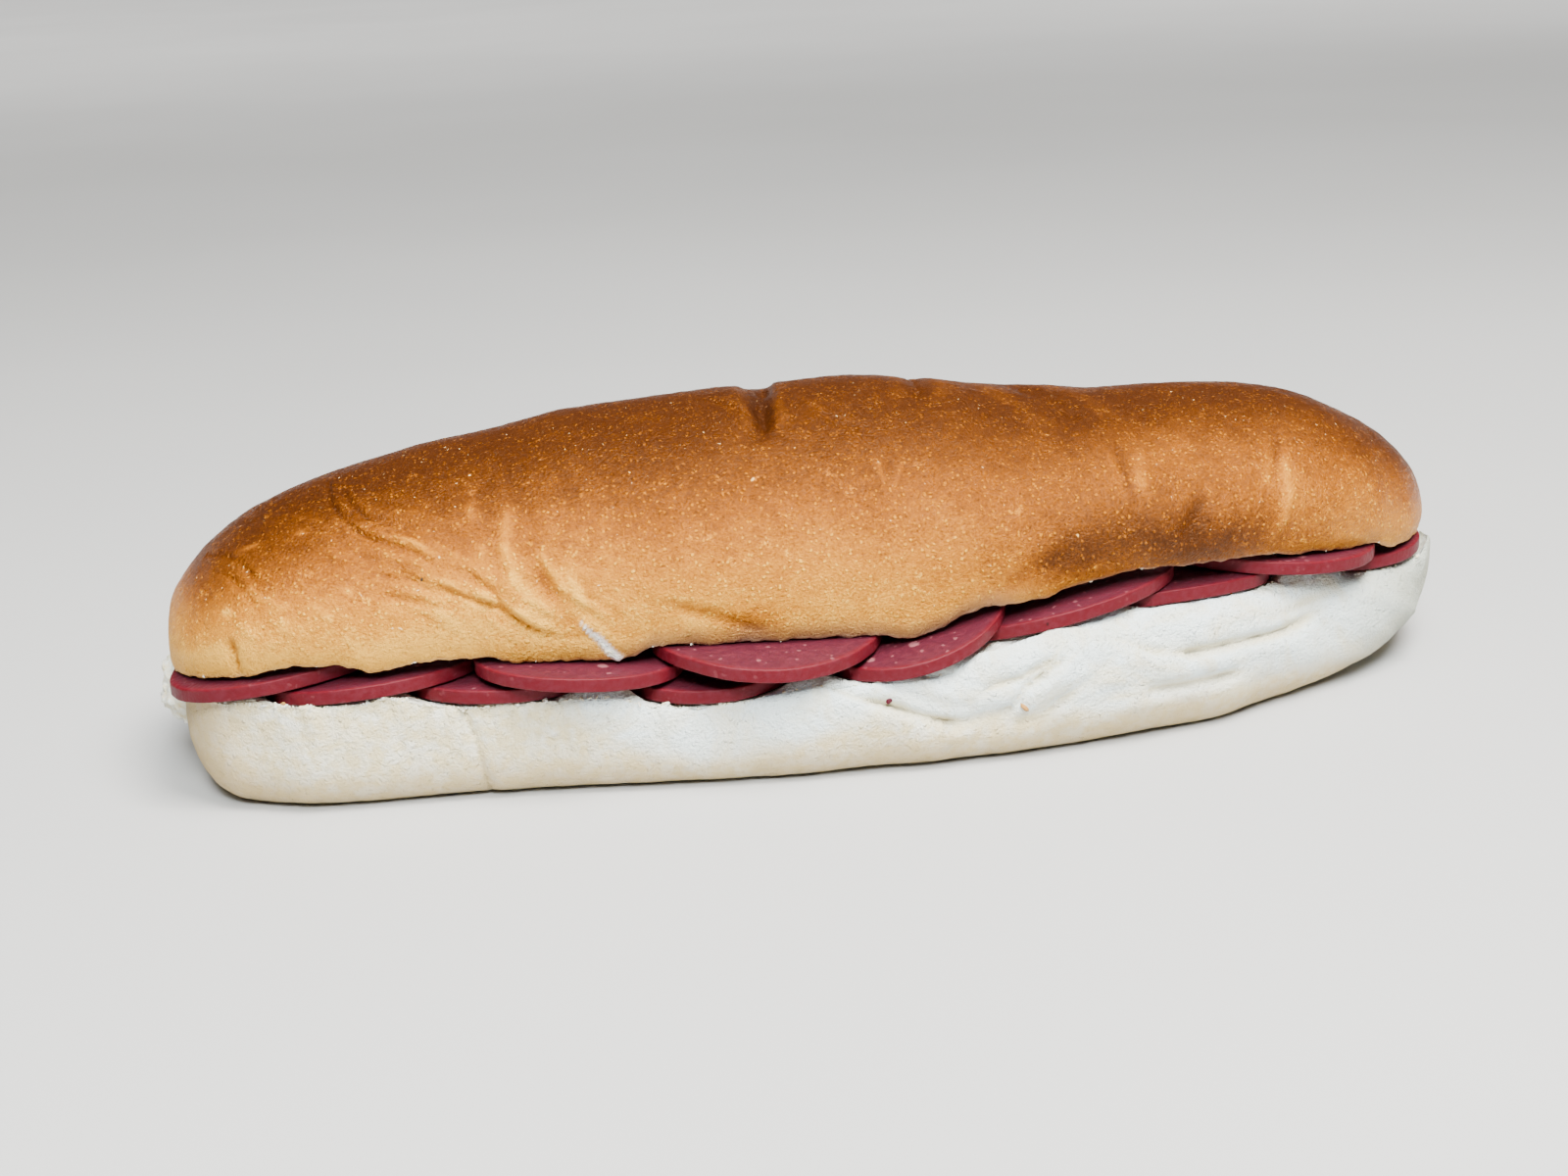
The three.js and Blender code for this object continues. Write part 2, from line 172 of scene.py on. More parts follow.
# %% The section of the bread at each place
RIDGE_SHIFT = 0.02
BACK_SHARE = 0.97
FRONT_RISE = 0.24
BACK_RISE = 0.42
TORN_INWARD = 2.0
TORN_ROUNDING = (14, 2.4)
LEAN_GROWTH = 1.5
HINGE_LIMIT = 0.6


def measures(x):
    """The sizes of the section at x, one array for each."""
    half_width = through(x, HALF_WIDTH)
    crown = rounded("crown", x - LEFT_END, crown_room(x))
    base = rounded("base", x - TEAR_X, RIGHT_END - x)
    underside = rounded("underside", x - LEFT_END, RIGHT_END - x)
    m = {}
    m["ridge_z"] = CROWN_FOOT + (through(x, RIDGE_HEIGHT) - CROWN_FOOT) * crown
    m["ridge_y"] = RIDGE_SHIFT * half_width
    m["front_y"] = -half_width * plan_share(x)
    m["back_y"] = BACK_SHARE * half_width * plan_share(x)
    m["roof"] = through(x, SLIT_ROOF)
    m["floor"] = through(x, SLIT_FLOOR)
    m["lip_y"] = upper_lip(x)
    m["lip_z"] = m["roof"] - sag(x, m["lip_y"])
    m["front_z"] = m["lip_z"] + FRONT_RISE * (m["ridge_z"] - m["lip_z"])
    m["base_z"] = UNDERSIDE_TIP * (1 - underside)
    torn_back = TORN_INWARD * (1 - round_end(x - TEAR_X, *TORN_ROUNDING))
    m["low_y"] = torn_back - through(x, BASE_REACH) * base
    m["low_lip_y"] = m["low_y"] + through(x, LOWER_LIP_LEAN) * np.minimum(1, LEAN_GROWTH * base)
    m["low_lip_z"] = m["floor"] - sag(x, m["low_lip_y"])
    m["low_z"] = 0.5 * (m["base_z"] + m["low_lip_z"])
    m["back_z"] = m["base_z"] + BACK_RISE * (m["ridge_z"] - m["base_z"])
    m["hinge_y"] = np.maximum(through(x, HINGE_DEPTH), HINGE_LIMIT * m["lip_y"])
    m["hinge_z"] = 0.5 * (m["roof"] + m["floor"])
    return m


middle = measures(np.array([0.0]))
print("slit at the middle: %.1f mm high" % (middle["lip_z"] - middle["low_lip_z"])[0])

# %% [markdown]
# ## A fine mesh of the bread
# The real bread is one lump, so its mesh is one closed surface. Each section is walked round once: slit
# roof, upper lip, crown, back, base, front of the lower half and slit floor. Joining several hundred
# sections gives quads of about two thirds of a millimetre where the photograph looks, and longer ones
# where nobody does. A sculpted mesh or a remeshed block would lose track of which face is crust and
# which is crumb. Here every column of the grid keeps the name of its stretch.

# %% Points round a section
LIP_HANG = 1.6
RIM_STAND = 2.6
POINTS = {
    "lip": 16, "crown": 100, "back": 28, "back_corner": 12, "base": 6, "front_corner": 20, "low_front": 22,
}
POWER = {"lip": 2, "crown": 2.1, "back": 2.1, "back_corner": 2.6, "front_corner": 2.6, "low_front": 2}
SLIT_STEPS = np.concatenate([[0, 0.02, 0.04, 0.06, 0.12, 0.2, 0.3, 0.4, 0.5], np.linspace(0.58, 0.985, 12)])
MOUTH_SHARE = 0.06
BACK_CORNER = 14.0
BACK_CORNER_SHARE = 0.35
FRONT_CORNER = 9.0
FRONT_CORNER_SHARE = 0.3


def between(start, end, share):
    return start + (end - start) * share


def quarter(name):
    """Sine and cosine along the quarter of a superellipse that a stretch follows."""
    angle = np.linspace(0, math.pi / 2, POINTS[name], endpoint=False)
    return np.sin(angle) ** (2 / POWER[name]), np.abs(np.cos(angle)) ** (2 / POWER[name])


def bread_grid(x):
    """Points of every section (stations, points, 3) and the name of each column's stretch."""
    m = {name: value[:, None] for name, value in measures(x).items()}
    turns = ("lip", "front", "ridge", "back", "low", "low_lip")
    corner = {name: (m[name + "_y"], m[name + "_z"]) for name in turns}
    width = m["back_y"] - m["low_y"]
    back_foot = (m["back_y"] - np.minimum(BACK_CORNER, BACK_CORNER_SHARE * width), m["base_z"])
    front_foot = (m["low_y"] + np.minimum(FRONT_CORNER, FRONT_CORNER_SHARE * width), m["base_z"])
    along = x[:, None]
    columns = []
    names = []

    def add(name, y, z):
        columns.append(np.stack(np.broadcast_arrays(along, y, z), axis=-1))
        names.extend([name] * columns[-1].shape[1])

    def add_slit(name, steps, edge_y, edge_z, stand):
        """One side of the slit, between the hinge and the edge of a lip."""
        y = between(m["hinge_y"], edge_y, steps)
        opening = np.sqrt(np.minimum(1, steps / MOUTH_SHARE))
        add(name, y, between(m["hinge_z"], edge_z + stand * behind(y, edge_y), opening) - sag(along, y))

    def add_bend(name, start, end, upright):
        """A quarter of an oval between two corners, which sets out upright or level."""
        sine, cosine = quarter(name)
        if upright:
            add(name, between(end[0], start[0], cosine), between(start[1], end[1], sine))
        else:
            add(name, between(start[0], end[0], sine), between(end[1], start[1], cosine))

    add_slit("roof", SLIT_STEPS[None, :], m["lip_y"], m["roof"], LIP_HANG)
    add_bend("lip", corner["lip"], corner["front"], upright=False)
    add_bend("crown", corner["front"], corner["ridge"], upright=True)
    add_bend("back", corner["ridge"], corner["back"], upright=False)
    add_bend("back_corner", corner["back"], back_foot, upright=True)
    share = np.linspace(0, 1, POINTS["base"], endpoint=False)[None, :]
    add("base", between(back_foot[0], front_foot[0], share), m["base_z"])
    add_bend("front_corner", front_foot, corner["low"], upright=False)
    add_bend("low_front", corner["low"], corner["low_lip"], upright=True)
    add_slit("floor", SLIT_STEPS[None, :0:-1], m["low_lip_y"], m["floor"], -RIM_STAND)
    return np.concatenate(columns, axis=1), np.array(names)


print("points round a section: %d" % (2 * len(SLIT_STEPS) - 1 + sum(POINTS.values())))

# %% Sections along the roll
STATIONS = 400
FINE_STEPS = 2001
END_GAP = 0.02
FOLDED_MIDDLE = -70.0
FOLDED_REACH = 30.0
FOLDED_CROWDING = 0.8
END_REACH = 5.0

fine = np.linspace(LEFT_END + END_GAP, RIGHT_END - END_GAP, FINE_STEPS)
crowding = 1 + FOLDED_CROWDING * np.exp(-((fine - FOLDED_MIDDLE) / FOLDED_REACH) ** 2)
crowding += np.exp(-(fine - LEFT_END) / END_REACH) + np.exp(-(RIGHT_END - fine) / END_REACH)
counted = np.cumsum(crowding)
stations = np.interp(np.linspace(counted[0], counted[-1], STATIONS), counted, fine)
grid, stretch = bread_grid(stations)
print("bread grid: %d sections of %d points" % grid.shape[:2])

# %% Where the measures lie in the frame
lowest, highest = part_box("bread_roll")
ORIGIN = np.array([
    0.5 * (LEFT_END + RIGHT_END) - 0.5 * (lowest[0] + highest[0]) / MM,
    grid[..., 1].max() - highest[1] / MM,
    0.0,
])
print("the frame's origin is at %.2f, %.2f mm of the roll's own measures" % tuple(ORIGIN[:2]))

# %% [markdown]
# ## Relief of the crust
# A soft roll is never smooth. Its crust has wrinkled where the dough was folded and squeezed, most of
# all at the left, where two long folds run down into the lip. Fine ridges stand beside the folds. All
# of them are drawn on the unrolled crust, as x and the way up from the lip, and pressed into the mesh.
# A bump map could shade them, but it could not bend the outline or cast a shadow. Between them comes a
# slow unevenness, which is plain noise.

# %% Ways up and down the unrolled surface
x_of = grid[..., 0]
height = grid[..., 2]


def unrolled():
    """For each point, the way up from the upper lip and the way down from the lower lip, in millimetres."""
    steps = np.linalg.norm(np.diff(grid, axis=1), axis=2)
    way = np.concatenate([np.zeros((len(grid), 1)), np.cumsum(steps, axis=1)], axis=1)
    first_lip = np.argmax(stretch == "lip")
    first_floor = np.argmax(stretch == "floor")
    return way - way[:, first_lip:first_lip + 1], way[:, first_floor:first_floor + 1] - way


def on_stretch(*names):
    """Mask of the points that belong to the named stretches."""
    return np.broadcast_to(np.isin(stretch, names), x_of.shape)


way_up, way_down = unrolled()
in_slit = on_stretch("roof", "floor")
on_back = on_stretch("back", "back_corner")
on_crust = on_stretch("lip", "crown") | on_back
on_front = on_stretch("front_corner", "low_front")
print("from lip to ridge at the middle: %.0f mm" % way_up[STATIONS // 2, np.argmax(stretch == "back")])


# %% Helpers for shaping by listed paths and by noise
def smooth(low, high, value):
    """Zero up to the low value, one from the high value on, and a soft step between."""
    t = np.clip((value - low) / (high - low), 0, 1)
    return t * t * (3 - 2 * t)


def bell(off, reach):
    """One at the middle, and almost nothing at twice the reach."""
    return np.exp(-(off / reach) ** 2)


def path_distance(x, way, path):
    """Distance to a path on an unrolled surface, above zero on its left, and the share of it passed."""
    nearest = np.full(np.shape(x), 1e9)
    side = np.ones(np.shape(x))
    passed = np.zeros(np.shape(x))
    lengths = [math.dist(a, b) for a, b in zip(path[:-1], path[1:])]
    before = 0.0
    for (ax, aw), (bx, bw), length in zip(path[:-1], path[1:], lengths):
        dx, dw = bx - ax, bw - aw
        t = np.clip(((x - ax) * dx + (way - aw) * dw) / length ** 2, 0, 1)
        off = np.hypot(x - ax - t * dx, way - aw - t * dw)
        closer = off < nearest
        nearest = np.where(closer, off, nearest)
        side = np.where(closer, np.sign(dx * (way - aw) - dw * (x - ax)), side)
        passed = np.where(closer, (before + t * length) / sum(lengths), passed)
        before += length
    return nearest * np.where(side == 0, 1, side), passed


def grain(points, wavelength, seed):
    """Smooth noise between about -1 and 1, with features about a wavelength across."""
    scaled = points.reshape(-1, 3) / np.asarray(wavelength, float) + 17.3 * seed
    return np.array([noise.noise(Vector(p)) for p in scaled]).reshape(points.shape[:-1])


def layered(points, layers):
    """Noise of several sizes added up. A layer is its height, its wavelength and its seed."""
    return sum(size * grain(points, wavelength, seed) for size, wavelength, seed in layers)


def flat(across, along):
    """Points of a flat pattern, for noise that is drawn on an unrolled surface."""
    return np.stack([across, along, 0 * across], axis=-1)


def table(fields, rows):
    """Rows of plain values, each with the names of its fields."""
    return [dict(zip(fields.split(), row)) for row in rows]


print("helpers ready")

# %% Folds and ridges drawn on the bread
CRUST_FOLDS = table("depth width step spread path", [
    (0.6, 0.42, 0.6, 4, [(-95, 56), (-93, 50), (-92.7, 39), (-91, 32.6), (-88.5, 28.7), (-85.5, 25.8),
        (-83, 24.2), (-80, 22.2), (-77.5, 19.9), (-75.6, 17.8), (-73, 17.5), (-70.5, 16.7)]),
    (0.65, 0.45, 0.7, 4.5, [(-90, 22), (-88, 21), (-83, 19.2), (-79.4, 16.6), (-75, 14), (-72, 12.7),
        (-68.6, 11.5), (-65.3, 11), (-63.4, 9.6), (-60.7, 7.6), (-57.4, 6.3), (-54, 5.6), (-51, 5.7),
        (-48, 4.5)]),
    (0.5, 0.45, 0.3, 2.5, [(-91.5, 47), (-90.3, 42), (-88.5, 36), (-86.7, 32), (-85, 29)]),
    (0.45, 0.5, -0.3, 2, [(-88, 27), (-85.5, 28.8), (-83, 28.5), (-80.5, 26.6), (-78.5, 24)]),
    (0.5, 0.5, 0.3, 2.5, [(-89, 19.5), (-86, 18.6), (-80, 16.2), (-77, 13.8), (-74, 12)]),
    (0.5, 0.5, 0.4, 2, [(-71, 18), (-69.2, 15.7), (-66.6, 14), (-65.2, 11.8), (-64, 10)]),
    (0.35, 0.6, 0.2, 2, [(-92, 25), (-86, 21.5), (-80, 18.5), (-76, 15.5)]),
    (0.3, 0.7, 0.2, 2, [(-88, 16), (-80, 12.5), (-72, 9.5)]),
    (1.0, 1.5, -0.4, 3, [(-59, 20), (-57.4, 16.3), (-56, 13), (-54, 9.3), (-52, 6.5)]),
    (0.6, 0.6, 0.5, 2.5, [(-52.5, 8.5), (-48.6, 5), (-46.6, 3), (-44.3, 0.3)]),
    (0.5, 1.0, 0.4, 3, [(-39, 10), (-33, 8), (-28, 6.5), (-24, 5), (-20, 3), (-18.5, 0)]),
    (2.1, 1.3, -0.5, 6, [(-8, 84), (-9, 73), (-12, 58), (-12.8, 50.4), (-13.5, 46), (-15.6, 42),
        (-16, 38)]),
    (0.6, 0.8, 0.4, 4, [(-26, 63), (-21.3, 60.3), (-17.8, 57.2), (-15.6, 52), (-13.5, 46), (-12, 43)]),
    (0.5, 0.5, 0.2, 2, [(-3, 50), (-0.6, 48), (0.9, 45.7), (3, 44), (5, 42)]),
    (1.2, 1.8, 0.8, 8, [(22, 84), (22, 70), (20, 60), (16, 48)]),
    (0.9, 3.0, -0.5, 8, [(38, 72), (41.3, 62.8), (44.8, 50.8), (46.9, 39.6), (48, 32)]),
    (0.5, 0.8, 0.5, 3, [(51.5, 31), (51, 27), (50.3, 19), (50.2, 15.5), (50, 12)]),
    (0.5, 0.8, 0.6, 3, [(84.5, 30), (83.5, 24), (80.4, 16.5), (79.5, 12)]),
    (0.5, 1.8, 0.0, 4, [(65, 17), (63.7, 13), (61, 8), (59.5, 4)]),
    (0.45, 1.8, 0.0, 4, [(22, 2), (30, 7), (39, 8)]),
    (0.5, 0.5, 0.4, 2.5, [(-118, 33.5), (-115.9, 32.6), (-111.4, 28.2), (-108.9, 24.3), (-107, 19.7),
        (-105, 16)]),
    (0.45, 0.5, 0.3, 2, [(-112.5, 24), (-110.8, 21), (-108.9, 17.2), (-107.6, 14.5), (-106, 12)]),
    (0.8, 0.8, 0.6, 3, [(-112.5, 9), (-111.8, 6), (-111.4, 3), (-111.4, -2)]),
])
CRUST_RIDGES = table("height width path", [
    (0.35, 0.7, [(-108.5, 17.5), (-107.6, 15.9), (-106.3, 14.1), (-105.4, 12.6)]),
    (0.45, 0.8, [(-106, 14.6), (-104.5, 13.2), (-103.3, 11.8), (-101, 11)]),
    (0.35, 0.8, [(-106, 13.4), (-104.5, 11.7), (-102.6, 8.8), (-100.8, 6)]),
    (0.3, 0.7, [(-110.6, 11), (-109.5, 9.7), (-108.2, 8.2), (-107, 6.8)]),
    (0.3, 0.7, [(-98.4, 12.6), (-96.8, 11.4), (-95.2, 10.1), (-93.5, 9)]),
    (0.45, 0.9, [(-84, 26), (-82.5, 25.1), (-79.4, 23.1), (-76.2, 20.1), (-74, 18.7)]),
    (0.5, 0.8, [(-76, 16.2), (-73.7, 14.9), (-71.2, 13.4), (-68.6, 12.6), (-65, 12.3)]),
    (0.5, 0.8, [(-63.5, 11.6), (-61.4, 9.9), (-58.7, 8), (-55.5, 7)]),
    (0.25, 1.6, [(-79, 19), (-76.2, 13), (-73.7, 7), (-71, 1.5)]),
    (0.35, 1.2, [(-67, 41), (-68, 36), (-68.6, 31), (-68.5, 24)]),
    (0.6, 1.4, [(-62, 34), (-62.7, 28), (-63.4, 21.6), (-62.7, 17), (-60.7, 12.5)]),
    (0.35, 0.9, [(-68, 23), (-67.3, 19.2), (-66, 14.5)]),
    (0.5, 0.9, [(-58, 22), (-56.7, 19), (-55.2, 16), (-53.3, 12.5)]),
    (0.3, 0.9, [(-53.5, 18), (-52, 14), (-50.5, 10)]),
    (0.35, 0.7, [(-23, 61.5), (-17.8, 57.8), (-15.6, 52.6), (-13.8, 46.8)]),
    (0.35, 0.7, [(-7.5, 50.5), (-9.2, 48.7), (-11.3, 46.8), (-13.2, 45)]),
    (0.3, 0.6, [(-5.5, 60), (-2.7, 53), (-0.4, 49.5)]),
    (0.3, 0.5, [(4, 37), (4.5, 35), (5.2, 28.8), (5.5, 26.5)]),
    (0.3, 0.5, [(9.8, 35.5), (8.8, 33.7), (5.2, 27)]),
    (0.3, 1.3, [(55, 28), (54.4, 24.4), (53, 16.5), (52.5, 13)]),
    (0.5, 1.0, [(83, 21), (82.8, 17.6), (82.8, 13), (81, 9.2), (78.5, 4.8), (76.5, 2.5)]),
])
FRONT_FOLDS = table("depth width step spread path", [
    (0.9, 0.9, 0.9, 4, [(-68.5, 23), (-70, 16.5), (-71.2, 8.4), (-73, 1.8), (-74, -5)]),
    (0.5, 1.2, 0.3, 3, [(-55, 15), (-57, -4)]),
    (0.4, 1.2, 0.3, 3, [(-100, 13), (-102, -1)]),
    (0.35, 1.3, 0.25, 3, [(-84, 13), (-86, 0)]),
    (0.4, 1.3, 0.3, 3, [(-38, 11.5), (-40, -3)]),
    (1.9, 0.9, 2.2, 4, [(-14, -2), (-9, 1.5), (-4.9, 4), (1, 6.2), (7.3, 9.2), (15.2, 13), (21, 14.6),
        (24.5, 13.7), (26.6, 11), (30, 10), (35, 7.7), (39.3, 3), (41, -1)]),
    (1.2, 0.8, 0.9, 2.5, [(14, 9.5), (20, 8.7), (26.6, 8.8), (32.3, 7.4), (36.5, 3.6), (38, 0)]),
    (2.1, 1.1, 1.7, 4, [(38, 3), (43.4, 6.2), (52.3, 10.5), (59.7, 12), (69, 11.8), (78.5, 12.2),
        (85, 11), (95, 7)]),
    (1.5, 1.2, 1.3, 4, [(33, 17), (38.6, 17.4), (46.2, 17.8), (55, 17.8), (66, 18), (80, 16)]),
    (1.1, 1.4, 0.9, 4, [(12, 16), (30, 17), (40, 13.5), (48, 7)]),
    (0.5, 1.5, -0.3, 3, [(69, 7), (83, 7.5), (99, 3.5)]),
])
print("folds: %d on the crust, %d on the lower front" % (len(CRUST_FOLDS), len(FRONT_FOLDS)))


# %% How folds and ridges bend the surface
def fold_relief(x, way, folds, points):
    """Relief of the folds, and how much of each point is fold bottom or the light brim beside it."""
    relief = np.zeros_like(x)
    bottom = np.zeros_like(x)
    brim = np.zeros_like(x)
    uneven = np.clip(0.75 + 0.7 * grain(points, 7, 50), 0.25, 1.2)
    for fold in folds:
        off, passed = path_distance(x, way, fold["path"])
        width = fold["width"]
        fade = smooth(0, 0.3, passed) * smooth(1, 0.75, passed) * uneven
        crease = bell(off, width) + 0.35 * bell(off, 3 * width)
        heap = fold["step"] * np.exp(-np.abs(off) / fold["spread"])
        heaped = np.where(off * np.sign(fold["step"]) > 0, np.abs(heap), 0.0)
        strength = fade * min(1, fold["depth"])
        relief += fade * (heaped - fold["depth"] * crease)
        bottom = np.maximum(bottom, strength * bell(off, 0.7 * width))
        brim = np.maximum(brim, strength * bell(np.abs(off) - 2.4 * width, width))
    return relief, bottom, brim


def ridge_relief(x, way, ridges, points):
    """How high the fine ridges stand at each point."""
    raised = np.zeros_like(x)
    uneven = np.clip(0.8 + 0.8 * grain(points, 4, 52), 0.2, 1.4)
    for ridge in ridges:
        off, passed = path_distance(x, way, ridge["path"])
        fade = smooth(0, 0.25, passed) * smooth(1, 0.75, passed) * uneven
        raised = np.maximum(raised, fade * ridge["height"] * bell(off, ridge["width"]))
    return raised


crust_relief, crust_bottom, crust_brim = fold_relief(x_of, way_up, CRUST_FOLDS, grid)
raised = ridge_relief(x_of, way_up, CRUST_RIDGES, grid)
print("folds of the crust: %.1f mm deep, ridges %.1f mm high" % (-crust_relief.min(), raised.max()))

# %% Slow unevenness and wrinkles of the crust
UNEVEN_LAYERS = [(0.3, 30, 1), (0.15, 12, 2), (0.09, 3.4, 3), (0.07, 1.5, 4)]
PUFFED = 0.3
SHOULDER_X = -117.0
SHOULDER_REACH = 8.0
SHOULDER_WAYS = (10, 32)
SHOULDER_SWELL = 0.5
RIGHT_SWELL = 0.5
RIGHT_SWELL_X = (80, 100)
LIP_FADE = (-1, 4)
WRINKLED_PATH = [(-97, 40), (-76, 19), (-50, 8)]
WRINKLED_REACH = 12.0
WRINKLE_START = (1, 6)
WRINKLE_LAYERS = [(0.42, (10, 1.6, 1), 5), (0.24, (5, 0.9, 1), 30)]
FOLD_COSINE = 0.82
FOLD_SINE = 0.57
FLUTES_X = -60.0
FLUTES_REACH = 14.0
FLUTES_FOOT = (12, 22)
FLUTES_TOP = (52, 34)
FLUTE_WIDTH = 2.6
FLUTE_STRETCH = 0.12
FLUTE_HEIGHT = 0.14

crust_relief += layered(grid, UNEVEN_LAYERS) + PUFFED
crust_relief += SHOULDER_SWELL * bell(x_of - SHOULDER_X, SHOULDER_REACH) * smooth(*SHOULDER_WAYS, way_up)
crust_relief += RIGHT_SWELL * smooth(*RIGHT_SWELL_X, x_of)
crust_relief *= smooth(*LIP_FADE, way_up)
wrinkled = bell(path_distance(x_of, way_up, WRINKLED_PATH)[0], WRINKLED_REACH)
along_fold = FOLD_COSINE * x_of - FOLD_SINE * way_up
across_fold = FOLD_SINE * x_of + FOLD_COSINE * way_up
wrinkles = layered(flat(along_fold, across_fold), WRINKLE_LAYERS)
crust_relief += wrinkled * smooth(*WRINKLE_START, way_up) * wrinkles + raised
flutes = bell(x_of - FLUTES_X, FLUTES_REACH)
flutes *= smooth(*FLUTES_FOOT, way_up) * smooth(*FLUTES_TOP, way_up)
fluting = grain(flat(x_of, FLUTE_STRETCH * way_up), FLUTE_WIDTH, 31)
crust_relief += FLUTE_HEIGHT * flutes * fluting
print("wrinkled points: %d, fluted points: %d" % (np.sum(wrinkled > 0.5), np.sum(flutes > 0.5)))

# %% [markdown]
# ## The pinch and the torn strip
# Near the middle the crown was pinched before it was baked. The notch is about six millimetres wide on
# the ridge and closes to a line on the slope in front. Further left, where a long fold meets the lip,
# the skin has torn and a pale strip of crumb stands out. Both could be cut with a boolean, but that
# leaves hard corners and ruins the grid. They are soft masks on the unrolled crust, which later set the
# colour too.

# %% Pinch on the crown
PINCH_WAYS = (46, 58, 90)
PINCH_X = (-13.0, -12.3, -6.8)
PINCH_LINE_HALF = 0.3
PINCH_WIDENING = 2.6
PINCH_WIDENS = (45, 60)
PINCH_WANDER = 0.9
PINCH_LEFT_SLOPE = (-2.2, 1.2)
PINCH_RIGHT_SLOPE = (1.0, -1.0)
PINCH_FOOT = (44, 52)
PINCH_BACK = (95, 75)
PINCH_DEPTH = 0.9

pinch_half = PINCH_LINE_HALF + PINCH_WIDENING * smooth(*PINCH_WIDENS, way_up)
pinch_off = x_of - np.interp(way_up, PINCH_WAYS, PINCH_X) + PINCH_WANDER * grain(grid, 4, 57)
pinch = smooth(*PINCH_LEFT_SLOPE, pinch_off + pinch_half)
pinch *= smooth(*PINCH_RIGHT_SLOPE, pinch_off - pinch_half)
pinch *= smooth(*PINCH_FOOT, way_up) * smooth(*PINCH_BACK, way_up)
crust_relief -= PINCH_DEPTH * pinch
print("pinched points: %d" % np.sum(pinch > 0.5))

# %% Torn strip beside the lip
STRIP_PATH = [(-52.3, 8.3), (-48.9, 5), (-47.3, 3), (-45.6, 0.4)]
STRIP_HEIGHT = 0.3
STRIP_HALF = 0.9
STRIP_SHIFT = 0.3
STRIP_START = (0, 0.2)

torn_off, torn_passed = path_distance(x_of, way_up, STRIP_PATH)
crust_relief += STRIP_HEIGHT * bell(torn_off - STRIP_SHIFT, STRIP_HALF) * smooth(*STRIP_START, torn_passed)
print("torn strip: %d points" % np.sum((np.abs(torn_off) < STRIP_HALF) & on_crust))

# %% [markdown]
# ## The lower front
# Below the slit the roll is white. It lay against its neighbour in the oven and was torn from it, so
# the right half has deep folds and a coarse grain of stretched crumb, while the left half is smooth
# skin with fine pleats under the rim. Noise that is drawn out along a slant gives the torn grain, and
# the folds are drawn like those of the crust, as x and the way down from the lower lip.

# %% Relief of the lower front
WHITE_REACH = [
    (-62, -3), (-50, 8), (-38, 12), (-20, 12), (-6, 9), (1, 7.5), (7, 9.5), (15, 13), (24, 14.5), (32, 18),
    (45, 20), (70, 20), (100, 20), (112, 16), (120, 6), (126, -3),
]
WHITE_EDGE = (-2.5, 2.0)
WHITE_WANDER = 1.5
TORN_FROM = (-16, 0)
TORN_COSINE = 0.9
TORN_SINE = 0.44
TORN_LAYERS = [(0.8, (15, 4.5, 1), 8), (0.3, (7, 1.8, 1), 9)]
FRONT_LAYERS = [(0.30, 12, 6), (0.10, 2.4, 7)]
PLEAT_LAYERS = [(1.2, 5.0, 32), (0.6, 1.8, 36)]
PLEAT_STRETCH = 0.2
PLEAT_HEIGHT = 0.45
PLEATS_END = (16, 2)
TORN_PLEATS = 0.3
RIM_FADE = (-1.5, 2.0)

white_edge = through(x_of, WHITE_REACH) - way_down + WHITE_WANDER * grain(grid, 5, 53)
white_part = smooth(*WHITE_EDGE, white_edge)
torn = smooth(*TORN_FROM, x_of) * white_part
fibres = flat(TORN_COSINE * x_of + TORN_SINE * way_down, TORN_COSINE * way_down - TORN_SINE * x_of)
front_relief, front_bottom, front_brim = fold_relief(x_of, way_down, FRONT_FOLDS, grid)
front_relief += layered(grid, FRONT_LAYERS) + torn * layered(fibres, TORN_LAYERS)
pleating = layered(flat(x_of, PLEAT_STRETCH * way_down), PLEAT_LAYERS)
pleated = smooth(*PLEATS_END, way_down) * (1 - (1 - TORN_PLEATS) * torn)
front_relief += PLEAT_HEIGHT * pleating * pleated
front_relief *= smooth(*RIM_FADE, way_down)
relief = np.where(on_crust, crust_relief, 0.0) + np.where(on_front, front_relief, 0.0)
print("relief from %.1f to %.1f mm" % (relief.min(), relief.max()))

# %% [markdown]
# ## Lips
# Where the knife went in, the edge is ragged. It is roughened with short noise, which inside the slit
# only pulls back from the filling. Both lips rise and fall in scallops, and the lower rim swells up
# under the slices that lie on it. It could be fitted by eye, slice by slice. Here the script works out
# the room under the lowest slice at each place, and the rim rises no further than that. So the sizes of
# the slices come first.

# %% Sizes of the slices
SLICE_THICKNESS = 2.5
SLICES = table("x front length depth height tilt curl", [
    (-104.1, -33.1, 20.5, 17.0, 23.35, 0.11, -0.0022),
    (-88.5, -36.6, 19.4, 13.2, 21.6, 0.056, -0.0022),
    (-64.0, -39.0, 19.5, 15.0, 18.9, -0.022, -0.001),
    (-51.9, -44.6, 18.7, 12.6, 21.8, -0.088, -0.0016),
    (-27.2, -43.7, 17.2, 14.1, 17.0, 0.039, 0.0),
    (-17.8, -49.5, 21.1, 17.2, 22.7, -0.045, 0.0),
    (9.2, -47.6, 18.5, 17.7, 20.1, 0.206, 0.0021),
    (39.1, -42.5, 22.4, 14.4, 24.3, 0.188, -0.0033),
    (60.5, -37.7, 21.9, 13.0, 23.9, 0.05, -0.0039),
    (84.4, -35.5, 21.4, 16.4, 26.1, -0.068, -0.0004),
    (103.5, -22.7, 17.9, 16.1, 21.1, 0.023, 0.0009),
])


def underside(size, x, y):
    """Height of a slice's underside at a place."""
    off = x - size["x"]
    return size["height"] + size["tilt"] * off + size["curl"] * off ** 2 - sag(x, y)


